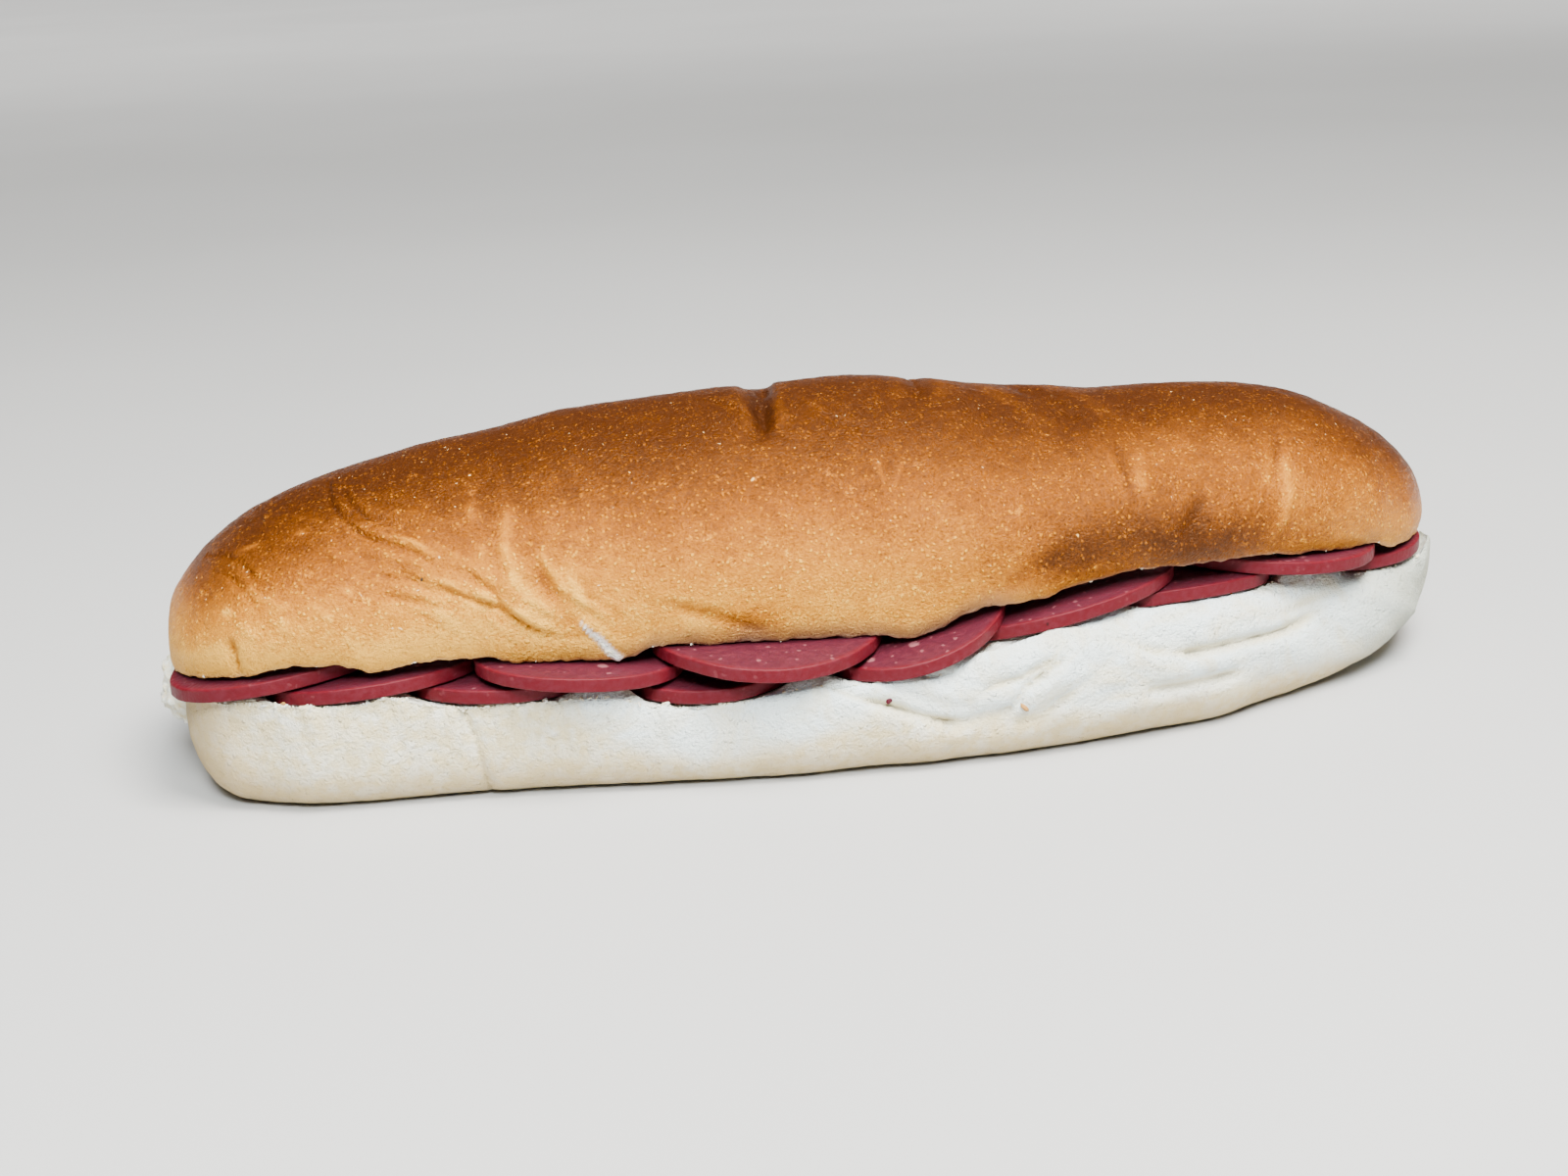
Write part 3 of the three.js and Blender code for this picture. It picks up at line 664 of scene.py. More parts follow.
def lowest_slice(x, y):
    """Height of the lowest slice over each place, or infinity where there is none."""
    lowest = np.full(np.shape(x), np.inf)
    for size in SLICES:
        middle_y = size["front"] + size["depth"]
        reach = np.hypot((x - size["x"]) / size["length"], (y - middle_y) / size["depth"])
        lowest = np.where(reach < 1, np.minimum(lowest, underside(size, x, y)), lowest)
    return lowest


print("slices from x = %.0f to %.0f mm" % (SLICES[0]["x"], SLICES[-1]["x"]))

# %% Ragged edges
UPPER_EDGE = 1.8
LOWER_EDGE = 1.6
RAGGED_LAYERS = [(1, 2.1, 10), (0.6, 0.9, 11)]
RAGGED_OUTSIDE = 0.32
RAGGED_INSIDE = 0.4

near_upper = bell(way_up, UPPER_EDGE)
near_lower = bell(way_down, LOWER_EDGE)
ragged = layered(grid, RAGGED_LAYERS)
outside_edge = RAGGED_OUTSIDE * (near_upper + 1.3 * near_lower) * ragged
inside_edge = -RAGGED_INSIDE * np.abs(ragged) * (near_upper + near_lower)
relief += np.where(in_slit, inside_edge, outside_edge)
print("ragged points: %d" % np.count_nonzero(near_upper + near_lower > 0.3))

# %% Scallops of the lips
SCALLOP_LAYERS = [(0.4, 9, 33), (0.35, 3.6, 34)]
UPPER_DROP = 0.25
UPPER_RISE = 0.7
UPPER_SCALLOP_REACH = 3.2
LOWER_SCALLOP = 0.35
LOWER_SCALLOP_REACH = 3.0

line = flat(x_of, 0 * x_of)
below = on_stretch("floor", "low_front")
scallops = np.clip(layered(line, SCALLOP_LAYERS), -UPPER_DROP, UPPER_RISE)
upper_lift = scallops * bell(way_up, UPPER_SCALLOP_REACH)
lower_lift = LOWER_SCALLOP * grain(line, 5, 35) * bell(way_down, LOWER_SCALLOP_REACH) * (way_down > 0)
lift = np.where(on_stretch("roof", "lip", "crown"), upper_lift, 0.0) + np.where(below, lower_lift, 0.0)
print("lips lifted by %.1f to %.1f mm" % (lift.min(), lift.max()))

# %% Swell of the lower rim
SLICE_CLEARANCE = 0.25
SPARE_ROOM = 0.1
FREE_ROOM = 9.0
MOST_SWELL = 2.6
SWELL_REACH = 9.0
BRIM_X = 89.0
BRIM_HALF = 9.0
BRIM_RISE = 1.4
TIP_RISE = 1.0
TIP_FROM = (119, 123)
TIP_TO = (126, 124.5)
BRIM_REACH = 4.0


def neighbours(values, reach):
    """The values at each station and at its neighbours on both sides, as a new first axis."""
    padded = np.pad(values, ((reach, reach), (0, 0)), mode="edge")
    return np.stack([padded[k:k + len(values)] for k in range(2 * reach + 1)])


def lowest_nearby(values, reach):
    return neighbours(values, reach).min(axis=0)


def evened(values, reach):
    return neighbours(values, reach).mean(axis=0)


room = lowest_slice(x_of, grid[..., 1]) - SLICE_CLEARANCE - height
covered = np.isfinite(room)
swell = np.clip(np.where(covered, room, 0.0), 0, MOST_SWELL) * bell(way_down, SWELL_REACH)
lift += np.where(on_stretch("floor"), evened(lowest_nearby(swell, 5), 4), 0.0)
brim_lift = BRIM_RISE * np.exp(-((x_of - BRIM_X) / BRIM_HALF) ** 4)
brim_lift += TIP_RISE * smooth(*TIP_FROM, x_of) * smooth(*TIP_TO, x_of)
lift += np.where(below, brim_lift * bell(way_down, BRIM_REACH), 0.0)
head_room = np.where(covered, np.maximum(room - SPARE_ROOM, 0.0), FREE_ROOM)
head_room = evened(lowest_nearby(head_room, 3), 2)
lift = np.where(below, np.minimum(lift, head_room), lift)
print("rim and lips lifted by %.1f to %.1f mm" % (lift.min(), lift.max()))

# %% Press the relief into the grid
END_FADE = 1.5
DRAWN_IN = 0.9
DRAWN_IN_LOW = 0.7
DRAWN_IN_X = (112, 124)
DRAWN_IN_WAYS = (-4, 1)
DRAWN_IN_HEIGHTS = (40, 28)
DRAWN_IN_BACK = (16, 25)

along_step = np.gradient(grid, axis=0)
round_step = 0.5 * (np.roll(grid, -1, axis=1) - np.roll(grid, 1, axis=1))
outward = np.cross(along_step, round_step)
outward /= np.linalg.norm(outward, axis=-1, keepdims=True) + 1e-12
relief *= smooth(0, END_FADE, np.minimum(x_of - LEFT_END, RIGHT_END - x_of))
bread_points = grid + outward * relief[..., None]
drawn_in = smooth(*DRAWN_IN_X, x_of) * smooth(*DRAWN_IN_WAYS, way_up)
drawn_in *= DRAWN_IN + DRAWN_IN_LOW * smooth(*DRAWN_IN_HEIGHTS, height)
drawn_in *= np.where(on_back, smooth(*DRAWN_IN_BACK, height), 1.0)
bread_points[..., 0] -= np.where(on_crust | on_stretch("roof"), drawn_in, 0.0)
bread_points[..., 2] = np.maximum(bread_points[..., 2] + lift, 0.0)
print("highest point of the crust: %.1f mm" % bread_points[..., 2].max())

# %% [markdown]
# ## How far each place was baked
# The oven browns what stands highest. The ridge is deep brown, the shoulders are golden, the sides
# above the slit are tan, and the lower half stayed cream white. An image painted on the mesh could show
# this, but it would fit only this one mesh. Here nine numbers are stored with each point: how far it
# was baked, with painted highlight and shade at some places, how much of it is bare crumb, crust,
# toasted edge with painted shade, painted shade in the hollows, white under painted cool light, and
# painted shade above the lip, at the right end and in the notch. The material turns them into colour,
# so the browning and the painted shade follow the shape and move with it.

# %% Places baked more or less than their height says, and places of painted shade
# Middle and reach as x and the way up from the lip, and how much darker the place is made: most were baked
# more or less, three carry painted shade
BAKED_AND_SHADED_SPOTS = table("at reach more", [
    # Brown patch in the hollow under the valley: baked darker, and painted shade
    ((66, 4), (26, 6), 0.54),
    ((-107.6, 28.9), (1.6, 0.9), -0.45),
    ((-98.5, 28.9), (0.9, 0.8), -0.4),
    ((-112.1, 12.6), (1.0, 1.0), -0.4),
    ((-91, 15), (1.0, 0.8), -0.3),
    ((-117, 1), (9, 4), -0.16),
    ((-121, 25), (9, 24), -0.16),
    ((-85, 2), (8, 5), -0.2),
    ((39, 9), (22, 7), 0.3),
    ((37, 6.5), (7, 5), 0.2),
    ((61, 9), (7, 7), 0.15),
    ((45, 50), (5, 12), 0.12),
    ((-22, 4.5), (5, 3), 0.4),
    ((20, 30), (50, 14), 0.06),
    ((-40, 44), (40, 10), 0.06),
    ((-110, 6), (22, 10), -0.16),
    ((-62, 7), (20, 7), -0.06),
    ((59, 28), (24, 10), -0.14),
    ((-45, 34), (34, 9), 0.04),
    ((82, 17), (4, 7), -0.12),
    ((-87, 47), (8, 6), 0.22),
    # Painted shade in the pinch notch
    ((-12.8, 48), (1.6, 6), 0.3),
    # Painted shade at the right end of the crown
    ((113, 12), (14, 20), 0.15),
])
BAKE_FOOT = 24.0
LOWEST_RIDGE = 39.0
PALEST = 0.10
BAKE_CURVE = 1.45
BAKE_LAYERS = [(0.05, 22, 14), (0.03, 7, 15)]
WRINKLED_PALER = 0.05
WRINKLE_HIGHLIGHT_AND_SHADE = 0.22
FLUTE_PALER = 0.04
RIDGE_HIGHLIGHT = 0.55
FOLD_SHADE = 0.34
BRIM_PALER = 0.16
WRINKLED_TOP = (60, 20)

ridge = np.maximum(measures(stations)["ridge_z"][:, None], LOWEST_RIDGE)
climb = np.clip((height - BAKE_FOOT) / (ridge - BAKE_FOOT), 0, 1)
bake = PALEST + (1 - PALEST) * climb ** BAKE_CURVE + layered(grid, BAKE_LAYERS)
# Paler crests and darker troughs of the wrinkles: painted highlight and shade
bake -= wrinkled * smooth(*WRINKLED_TOP, way_up) * (WRINKLED_PALER + WRINKLE_HIGHLIGHT_AND_SHADE * wrinkles)
# Paler on the crests of the flutes, and on the fine ridges as a painted highlight
bake -= FLUTE_PALER * flutes * fluting + RIDGE_HIGHLIGHT * raised
# Darker at the bottoms of the folds: painted shade; paler on the brims beside them
bake += FOLD_SHADE * crust_bottom - BRIM_PALER * crust_brim
for spot in BAKED_AND_SHADED_SPOTS:
    off_x = (x_of - spot["at"][0]) / spot["reach"][0]
    off_way = (way_up - spot["at"][1]) / spot["reach"][1]
    bake += spot["more"] * np.exp(-off_x ** 2 - off_way ** 2)
bake = np.where(on_crust, np.clip(bake, 0, 1), 0.0)
print("baked: %.0f%% of the points more than half" % (100 * np.mean(bake > 0.5)))

# %% Whole crust, and painted shade above the lip and in the notch
LIP_SHADE_SHARE = 0.85
LIP_SHADE_FROM = (-58, -38)
LIP_SHADE_TO = (36, 18)
LIP_SHADE_TOP = (5.5, 0.5)
NOTCH_SHADE_BACK = (85, 62)
BACK_EDGE = (14, 28)
BACK_EDGE_LAYERS = [(3, 26, 55), (1.6, 8, 56)]

# Painted shade: in the middle, the crust just above the upper lip, under the bulge of the crown, turns a
# dull brown
lip_shade_patch = smooth(*LIP_SHADE_FROM, x_of) * smooth(*LIP_SHADE_TO, x_of) * smooth(*LIP_SHADE_TOP, way_up)
lip_shade_patch *= LIP_SHADE_SHARE * (1 + 0.5 * grain(grid, 6, 51))
painted_lip_shade = np.where(on_crust, np.clip(lip_shade_patch, 0, 1), 0.0)
# Painted shade: the pinch notch is darkened towards near black, fading out towards the back
notch_shade = np.where(on_crust, pinch * smooth(*NOTCH_SHADE_BACK, way_up), 0.0)
browned_back = smooth(*BACK_EDGE, height + layered(grid, BACK_EDGE_LAYERS))
crusted = np.where(on_back, browned_back, np.where(on_crust, 1.0, 0.0))
print("crusted: %.0f%% of the points" % (100 * np.mean(crusted > 0.5)))

# %% Bare crumb and the tones of the pale parts, with painted shade and painted cool light
STREAK_HALF = 0.32
STREAK_WIDENING = 0.5
STREAK_SHIFT = 0.2
STREAK_EDGE = (1.5, 0.2)
STREAK_START = (0, 0.15)
WHITE_CRUMB = 0.9
RIM_CRUMB = 0.4
LIP_CRUMB = 0.15
LIP_CRUMB_REACH = 0.8
# Tan near the base is toasting with painted shade of the underside; the tan at the left end is painted
# shade
TOASTED_AND_SHADED = 0.85
TOASTED_AND_SHADED_EDGE = (12, 1)
LEFT_END_SHADE = 1.1
LEFT_END_SHADE_X = (-104, -122)
# Painted shade: the lower front turns grey towards the right end
END_SHADE_SHARE = 0.9
END_SHADE_X = (88, 114)

fray = grain(flat(4 * torn_passed, torn_off), (1.4, 1.5, 1), 16)
frayed = np.abs(torn_off - STREAK_SHIFT + 0.5 * fray) / (STREAK_HALF + STREAK_WIDENING * torn_passed)
torn_streak = smooth(*STREAK_EDGE, frayed) * smooth(*STREAK_START, torn_passed)
lip_crumb = LIP_CRUMB * bell(way_up, LIP_CRUMB_REACH)
crumb = np.where(in_slit, 1.0, 0.0)
crumb = np.maximum(crumb, np.where(on_front, WHITE_CRUMB * white_part + RIM_CRUMB * near_lower, 0.0))
crumb = np.maximum(crumb, np.where(on_crust, np.maximum(torn_streak, lip_crumb), 0.0))
crumb = np.clip(crumb, 0, 1)
# Tan near the base, partly toasting and partly painted shade, and painted shade at the left end
low_edge = smooth(*TOASTED_AND_SHADED_EDGE, height + 2 * grain(grid, 9, 37))
low_edge += LEFT_END_SHADE * smooth(*LEFT_END_SHADE_X, x_of)
toast_and_shade = np.where(on_stretch("base"), 1.0, np.clip(TOASTED_AND_SHADED * low_edge, 0, 1))
# Painted shade: cream in the bottoms and low places of the folds on the lower front, less on their brims
hollow_shade = np.where(on_front, np.clip(front_bottom - 0.5 * front_relief - 0.3 * front_brim, 0, 1), 0.0)
# Painted cool light: the white part of the lower front is tinted blue
cool_light_white = np.where(on_front, white_part, 0.0)
# Painted shade: the lower front turns grey towards the right end
right_end_shade = np.where(on_front, END_SHADE_SHARE * smooth(*END_SHADE_X, x_of + 4 * grain(grid, 9, 54)), 0.0)
print("bare crumb: %.0f%% of the points" % (100 * np.mean(crumb > 0.5)))


# %% The bread as one closed mesh
def new_mesh(name, points, faces):
    """A smooth-shaded mesh object from points in the roll's own millimetres."""
    mesh = bpy.data.meshes.new(name)
    mesh.from_pydata(((points - ORIGIN) * MM).tolist(), [], faces)
    mesh.polygons.foreach_set("use_smooth", np.ones(len(mesh.polygons), bool))
    mesh.update()
    piece = bpy.data.objects.new(name, mesh)
    bpy.context.collection.objects.link(piece)
    return piece


def store(piece, name, values):
    """Keeps one number a point with the mesh, for the material to read."""
    layer = piece.data.attributes.new(name, "FLOAT", "POINT")
    layer.data.foreach_set("value", np.ascontiguousarray(values, np.float32).ravel())


rows, around = bread_points.shape[:2]
first = (np.arange(rows - 1)[:, None] * around + np.arange(around)[None, :]).ravel()
beside = (np.arange(rows - 1)[:, None] * around + (np.arange(around)[None, :] + 1) % around).ravel()
faces = np.stack([first, first + around, beside + around, beside], axis=1).tolist()
faces.append(list(range(around)))
faces.append(list(range(rows * around - 1, (rows - 1) * around - 1, -1)))
bread = new_mesh("bread", bread_points.reshape(-1, 3), faces)
stored_numbers = {
    "bake": bake, "crumb": crumb, "crusted": crusted, "toast_and_shade": toast_and_shade, "hollow_shade": hollow_shade, "cool_light_white": cool_light_white,
    "painted_lip_shade": painted_lip_shade, "right_end_shade": right_end_shade, "notch_shade": notch_shade,
}
for name, values in stored_numbers.items():
    store(bread, name, values)
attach(bread, "root")
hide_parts("bread_roll")
print("bread: %d faces, %d numbers a point" % (len(bread.data.polygons), len(stored_numbers)))

# %% [markdown]
# ## The slices of sausage
# Each slice is a thin oval of cured sausage, cut across, with a firm rim and two flat faces. It leans
# on the next one like a row of tiles and sags a little where it hangs out of the bread. A cylinder
# would be quick, but its rim would be a perfect circle with a knife-sharp corner. Here each outline
# wanders by a few tenths of a millimetre, the corners are rounded, and the faces are slightly uneven,
# as sliced meat is.

# %% One slice
SLICE_SIDES = 160
CORNER = 0.32
CORNER_STEPS = 6
FACE_SHARES = (0.12, 0.3, 0.48, 0.64, 0.78, 0.88, 0.94)
SIDE_SHARES = (0.3, 0.42)
WANDER_LAYERS = [(0.012, 0.7, 20), (0.005, 0.16, 21)]
FACE_LAYERS = [(0.05, 5, 22), (0.03, 1.3, 23)]


def slice_profile():
    """Rows from the underside's middle over the rim to the top's middle: share, inset and height."""
    inner = [(share, 0.0, 0.0) for share in FACE_SHARES]
    corner = [(1.0, CORNER * (1 - math.sin(a)), CORNER * (1 - math.cos(a)))
              for a in np.linspace(0, math.pi / 2, CORNER_STEPS)]
    side = [(1.0, 0.0, SLICE_THICKNESS * share) for share in SIDE_SHARES]
    lower = inner + corner + side
    upper = [(share, inset, SLICE_THICKNESS - z) for share, inset, z in reversed(lower)]
    return lower + upper


def slice_faces(count):
    """Faces between the rows of a slice, with a fan of triangles at the middle of each side."""
    faces = []
    last_row = 1 + (count - 1) * SLICE_SIDES
    last_point = last_row + SLICE_SIDES
    for k in range(SLICE_SIDES):
        after = (k + 1) % SLICE_SIDES
        faces.append((0, 1 + after, 1 + k))
        for start in range(1, last_row, SLICE_SIDES):
            faces.append((start + k, start + after, start + SLICE_SIDES + after, start + SLICE_SIDES + k))
        faces.append((last_point, last_row + k, last_row + after))
    return faces


def slice_piece(number, size):
    """One slice as a closed mesh, with how much of each point is rim."""
    profile = slice_profile()
    angle = np.linspace(0, 2 * math.pi, SLICE_SIDES, endpoint=False)
    ring = np.stack([np.cos(angle), np.sin(angle), np.full_like(angle, 3.1 * number)], axis=-1)
    wander = 1 + layered(ring, WANDER_LAYERS)
    middle_y = size["front"] + size["depth"]
    rows = []
    rim = []
    for share, inset, z in [(0.0, 0.0, 0.0)] + profile + [(0.0, 0.0, SLICE_THICKNESS)]:
        on_rim = float(share == 1.0)
        reach = (share - inset / size["length"]) * wander
        x = size["x"] + size["length"] * reach * np.cos(angle)
        y = middle_y + size["depth"] * reach * np.sin(angle)
        point = np.stack([x, y, underside(size, x, y) + z], axis=-1)
        point[:, 2] += layered(point, FACE_LAYERS) * (1 - 0.5 * on_rim)
        rows.append(point if share else point[:1])
        rim.append(np.full(len(rows[-1]), on_rim))
    piece = new_mesh("slice_%02d" % number, np.concatenate(rows), slice_faces(len(profile)))
    store(piece, "rim", np.concatenate(rim))
    return piece


slices = []
for number, size in enumerate(SLICES, start=1):
    piece = slice_piece(number, size)
    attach(piece, "root")
    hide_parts("sausage_slice_%02d" % number)
    slices.append(piece)
print("slices: %d, of %d faces each" % (len(slices), len(slices[0].data.polygons)))

# %% [markdown]
# ## Torn crumb and loose bits
# At the left end the two halves were pulled apart, and a lump of soft crumb stands out under the tip of
# the crown. Threads of crumb stick out of the torn strip, crumbs cling along both lips, and pale flecks
# of flour and a few baked bits lie on the bread. Particles could scatter them, but they would not be
# solids of their own. The lump is a ball knocked out of shape by noise of three sizes. The small bits
# start as one little ball, and each copy is squashed, turned and set into the surface it lies on, then
# all of a kind are joined to one piece.

# %% Lump of torn crumb at the left end
LUMP_MIDDLE = np.array([-123.0, -2.0, 16.0])
LUMP_SIZE = np.array([4.6, 6.5, 6.2])
LUMP_LAYERS = [(0.30, 0.7, 40), (0.16, 0.26, 41), (0.08, 0.11, 42)]


def ball(divisions):
    """Points and faces of a round ball of radius one."""
    form = bmesh.new()
    bmesh.ops.create_icosphere(form, subdivisions=divisions, radius=1.0)
    points = np.array([corner.co[:] for corner in form.verts])
    faces = [[corner.index for corner in face.verts] for face in form.faces]
    form.free()
    return points, faces


ball_points, ball_faces = ball(5)
knocked = 1 + layered(ball_points, LUMP_LAYERS)
end_crumb = new_mesh("end_crumb", LUMP_MIDDLE + LUMP_SIZE * ball_points * knocked[:, None], ball_faces)
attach(end_crumb, "root")
print("end crumb: %d faces" % len(end_crumb.data.polygons))

# %% Torn fibres where the long fold meets the lip
FIBRES = 24
FIBRE_X = (-50.2, -47.7, -45.9)
FIBRE_WAYS = (6.3, 3.4, 0.8)
FIBRE_DIRECTION = np.array([0.62, -0.2, -0.75])


def repeated(faces, points, count):
    """The faces of several copies of one form, laid one after the other."""
    return [[corner + n * len(points) for corner in face] for n in range(count) for face in faces]


def mark(x, way, ways, mask):
    """The grid point at a place of an unrolled surface, with the way out of it."""
    row = np.argmin(np.abs(stations - x))
    column = np.argmin(np.where(mask[row], np.abs(ways[row] - way), 1e9))
    return bread_points[row, column], outward[row, column]


chance = np.random.default_rng(5)
fibre_points, fibre_faces = ball(3)
fibre_parts = []
for number in range(FIBRES):
    share = (number + 0.5) / FIBRES
    stray = 0.1 + 0.4 * share
    x = np.interp(share, (0, 0.5, 1), FIBRE_X) + chance.normal(0, stray)
    up = np.interp(share, (0, 0.5, 1), FIBRE_WAYS) + chance.normal(0, stray)
    spot, out = mark(x, up, way_up, on_crust)
    along = FIBRE_DIRECTION + chance.normal(0, 0.28, 3)
    along -= out * (along @ out)
    along /= np.linalg.norm(along)
    size = np.array([chance.uniform(0.3, 0.8), chance.uniform(0.10, 0.18), chance.uniform(0.05, 0.11)])
    bent = fibre_points * (1 + 0.5 * grain(fibre_points + 2.9 * number, 0.5, 44))[:, None] * size
    fibre_parts.append(spot + bent[:, :1] * along + bent[:, 1:2] * np.cross(out, along) + bent[:, 2:] * out)
all_fibre_faces = repeated(fibre_faces, fibre_points, FIBRES)
torn_fibres = new_mesh("torn_fibres", np.concatenate(fibre_parts), all_fibre_faces)
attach(torn_fibres, "root")
print("torn fibres: %d faces" % len(torn_fibres.data.polygons))

# %% Crumbs along the lips and flecks on the crust
LOWER_CRUMBS = 440
UPPER_CRUMBS = 20
FLECKS = 420
LOWER_RIM = 1.4
UPPER_RIM = 0.8
FLECKS_FROM = 5.0
FLECKS_ABOVE = 28.0
RIM_HALF_LENGTH = 119.0
LEAST_STRETCH = (0.8, 0.35, 0.7)
MOST_STRETCH = (1.7, 0.8, 1.1)

chance = np.random.default_rng(7)
bit_points, bit_faces = ball(2)


def scatter(name, spots, directions, sizes, flatness, slot="bread"):
    """One piece of many small bits, each half sunk into the surface below it."""
    all_points = []
    for number, (spot, direction, size) in enumerate(zip(spots, directions, sizes)):
        side = np.cross(direction, chance.normal(size=3))
        side /= np.linalg.norm(side)
        other = np.cross(direction, side)
        rough = 1 + 0.4 * grain(bit_points + 3.7 * number, 0.8, 43)
        local = bit_points * rough[:, None] * size * chance.uniform(LEAST_STRETCH, MOST_STRETCH)
        placed = local[:, :1] * side + local[:, 1:2] * other + flatness * local[:, 2:] * direction
        all_points.append(spot + 0.25 * flatness * size * direction + placed)
    piece = new_mesh(name, np.concatenate(all_points), repeated(bit_faces, bit_points, len(all_points)))
    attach(piece, "root")
    return piece


def pick(mask, count):
    """Random grid points of a mask, with the way out of the surface there."""
    rows, columns = np.nonzero(mask)
    chosen = chance.choice(len(rows), count, replace=False)
    return bread_points[rows[chosen], columns[chosen]], outward[rows[chosen], columns[chosen]]


inner_length = np.abs(x_of) < RIM_HALF_LENGTH
lower_spots, lower_ways = pick(on_front & (way_down < LOWER_RIM) & inner_length, LOWER_CRUMBS)
upper_spots, upper_ways = pick(on_crust & (way_up < UPPER_RIM) & inner_length, UPPER_CRUMBS)
crumb_sizes = chance.gamma(2.5, 0.06, LOWER_CRUMBS + UPPER_CRUMBS) + 0.06
crumbs = scatter("crumbs", np.concatenate([lower_spots, upper_spots]),
                 np.concatenate([lower_ways, upper_ways]), crumb_sizes, 0.8)
fleck_spots, fleck_ways = pick(on_crust & (way_up > FLECKS_FROM) & (height > FLECKS_ABOVE), FLECKS)
flour = scatter("flour_flecks", fleck_spots, fleck_ways, chance.gamma(1.6, 0.042, FLECKS) + 0.04, 0.22)
print("crumbs: %d faces, flour flecks: %d faces" % (len(crumbs.data.polygons), len(flour.data.polygons)))


# %% Single bits: a shred of meat, three baked crumbs and a burnt speck
def marks(places, ways, mask):
    """The grid points at several places of an unrolled surface, with the ways out of them."""
    found = [mark(x, way, ways, mask) for x, way in places]
    return np.array([spot for spot, out in found]), np.array([out for spot, out in found])


MEAT_PLACE = (2, 5.1)
BAKED_PLACES = [(26, 13.9), (-104.3, 0.4), (71, 0.5)]
BAKED_SIZES = [0.8, 0.55, 0.35]
BURNT_PLACE = (-78.4, 16)

meat_bit = scatter("meat_bit", *marks([MEAT_PLACE], way_down, on_front), [0.75], 0.5, "sausage")
baked_bit = scatter("baked_bit", *marks(BAKED_PLACES, way_down, on_front), BAKED_SIZES, 0.5)
burnt_bit = scatter("burnt_bit", *marks([BURNT_PLACE], way_up, on_crust), [0.42], 0.9)
print("single bits: one of meat, three baked and one burnt")

# %% [markdown]
# ## Material helpers
# A material in Blender is a small graph of nodes. It could be joined by hand in the editor, but then it
# can't be read here. These few helpers add a node, join two sockets and set a value, so that each
# material below reads as a recipe and not as wiring. Scales of noise and cells are counted per metre:
# 1000 means features of a millimetre.

# %% Helpers for node materials
def new_material(name):
    material = bpy.data.materials.new(name)
    material.use_nodes = True
    tree = material.node_tree
    return material, tree, tree.nodes["Principled BSDF"]


def node(tree, kind, **settings):
    made = tree.nodes.new(kind)
    for name, value in settings.items():
        if name in made.inputs:
            made.inputs[name].default_value = value
        else:
            setattr(made, name, value)
    return made


def feed(tree, socket, value):
    """Joins an output to a socket, or sets a plain value on it."""
    if isinstance(value, bpy.types.NodeSocket):
        tree.links.new(value, socket)
    else:
        socket.default_value = value


def finish_with(tree, shader, finish):
    """Gives the shader its finish: a value or an output for each named input."""
    for name, value in finish.items():
        feed(tree, shader.inputs[name], value)


def stored(tree, name):
    return node(tree, "ShaderNodeAttribute", attribute_name=name).outputs["Fac"]


def place(tree):
    return node(tree, "ShaderNodeTexCoord").outputs["Object"]


print("node helpers ready")


# %% Helpers for sums and colours
def math_node(tree, operation, first, second=0.0, third=0.0, clamp=False):
    made = node(tree, "ShaderNodeMath", operation=operation, use_clamp=clamp)
    for socket, value in zip(made.inputs, (first, second, third)):
        feed(tree, socket, value)
    return made.outputs[0]


def times(tree, first, second):
    return math_node(tree, "MULTIPLY", first, second)


def plus_share(tree, base, share, value, clamp=False):
    """The base with a share of another value added."""
    return math_node(tree, "MULTIPLY_ADD", value, share, base, clamp)


def mix_colour(tree, share, first, second):
    made = node(tree, "ShaderNodeMix", data_type="RGBA", blend_type="MIX")
    feed(tree, made.inputs[0], share)
    feed(tree, made.inputs[6], first)
    feed(tree, made.inputs[7], second)
    return made.outputs[2]


def ramp(tree, value, stops):
    made = node(tree, "ShaderNodeValToRGB")
    elements = made.color_ramp.elements
    while len(elements) < len(stops):
        elements.new(0.5)
    for element, (position, colour) in zip(elements, stops):
        element.position = position
        element.color = (*colour, 1.0)
    feed(tree, made.inputs[0], value)
    return made.outputs[0]


def map_range(tree, value, low, high, to_low, to_high, smooth_step=False):
    made = node(tree, "ShaderNodeMapRange", clamp=True)
    made.interpolation_type = "SMOOTHSTEP" if smooth_step else "LINEAR"
    for socket, plain in zip(made.inputs[1:5], (low, high, to_low, to_high)):
        socket.default_value = plain
    feed(tree, made.inputs[0], value)
    return made.outputs[0]


print("sum and colour helpers ready")


# %% Helpers for noise, flecks and bumps
def noise_texture(tree, where, scale, detail=3.0, roughness=0.55, distortion=0.0, output="Fac"):
    made = node(tree, "ShaderNodeTexNoise", Scale=scale, Detail=detail, Roughness=roughness)
    made.inputs["Distortion"].default_value = distortion
    feed(tree, made.inputs["Vector"], where)
    return made.outputs[output]


def bump(tree, height, distance, strength, normal=None):
    made = node(tree, "ShaderNodeBump", Distance=distance, Strength=strength)
    feed(tree, made.inputs["Height"], height)
    if normal is not None:
        feed(tree, made.inputs["Normal"], normal)
    return made.outputs[0]


def ruffle(tree, where, scale, reach):
    """Places shifted about by noise, so that cells laid out on them aren't round."""
    made = node(tree, "ShaderNodeVectorMath", operation="MULTIPLY_ADD")
    feed(tree, made.inputs[0], noise_texture(tree, where, scale, 2, output="Color"))
    feed(tree, made.inputs[1], (reach, reach, reach))
    feed(tree, made.inputs[2], where)
    return made.outputs[0]


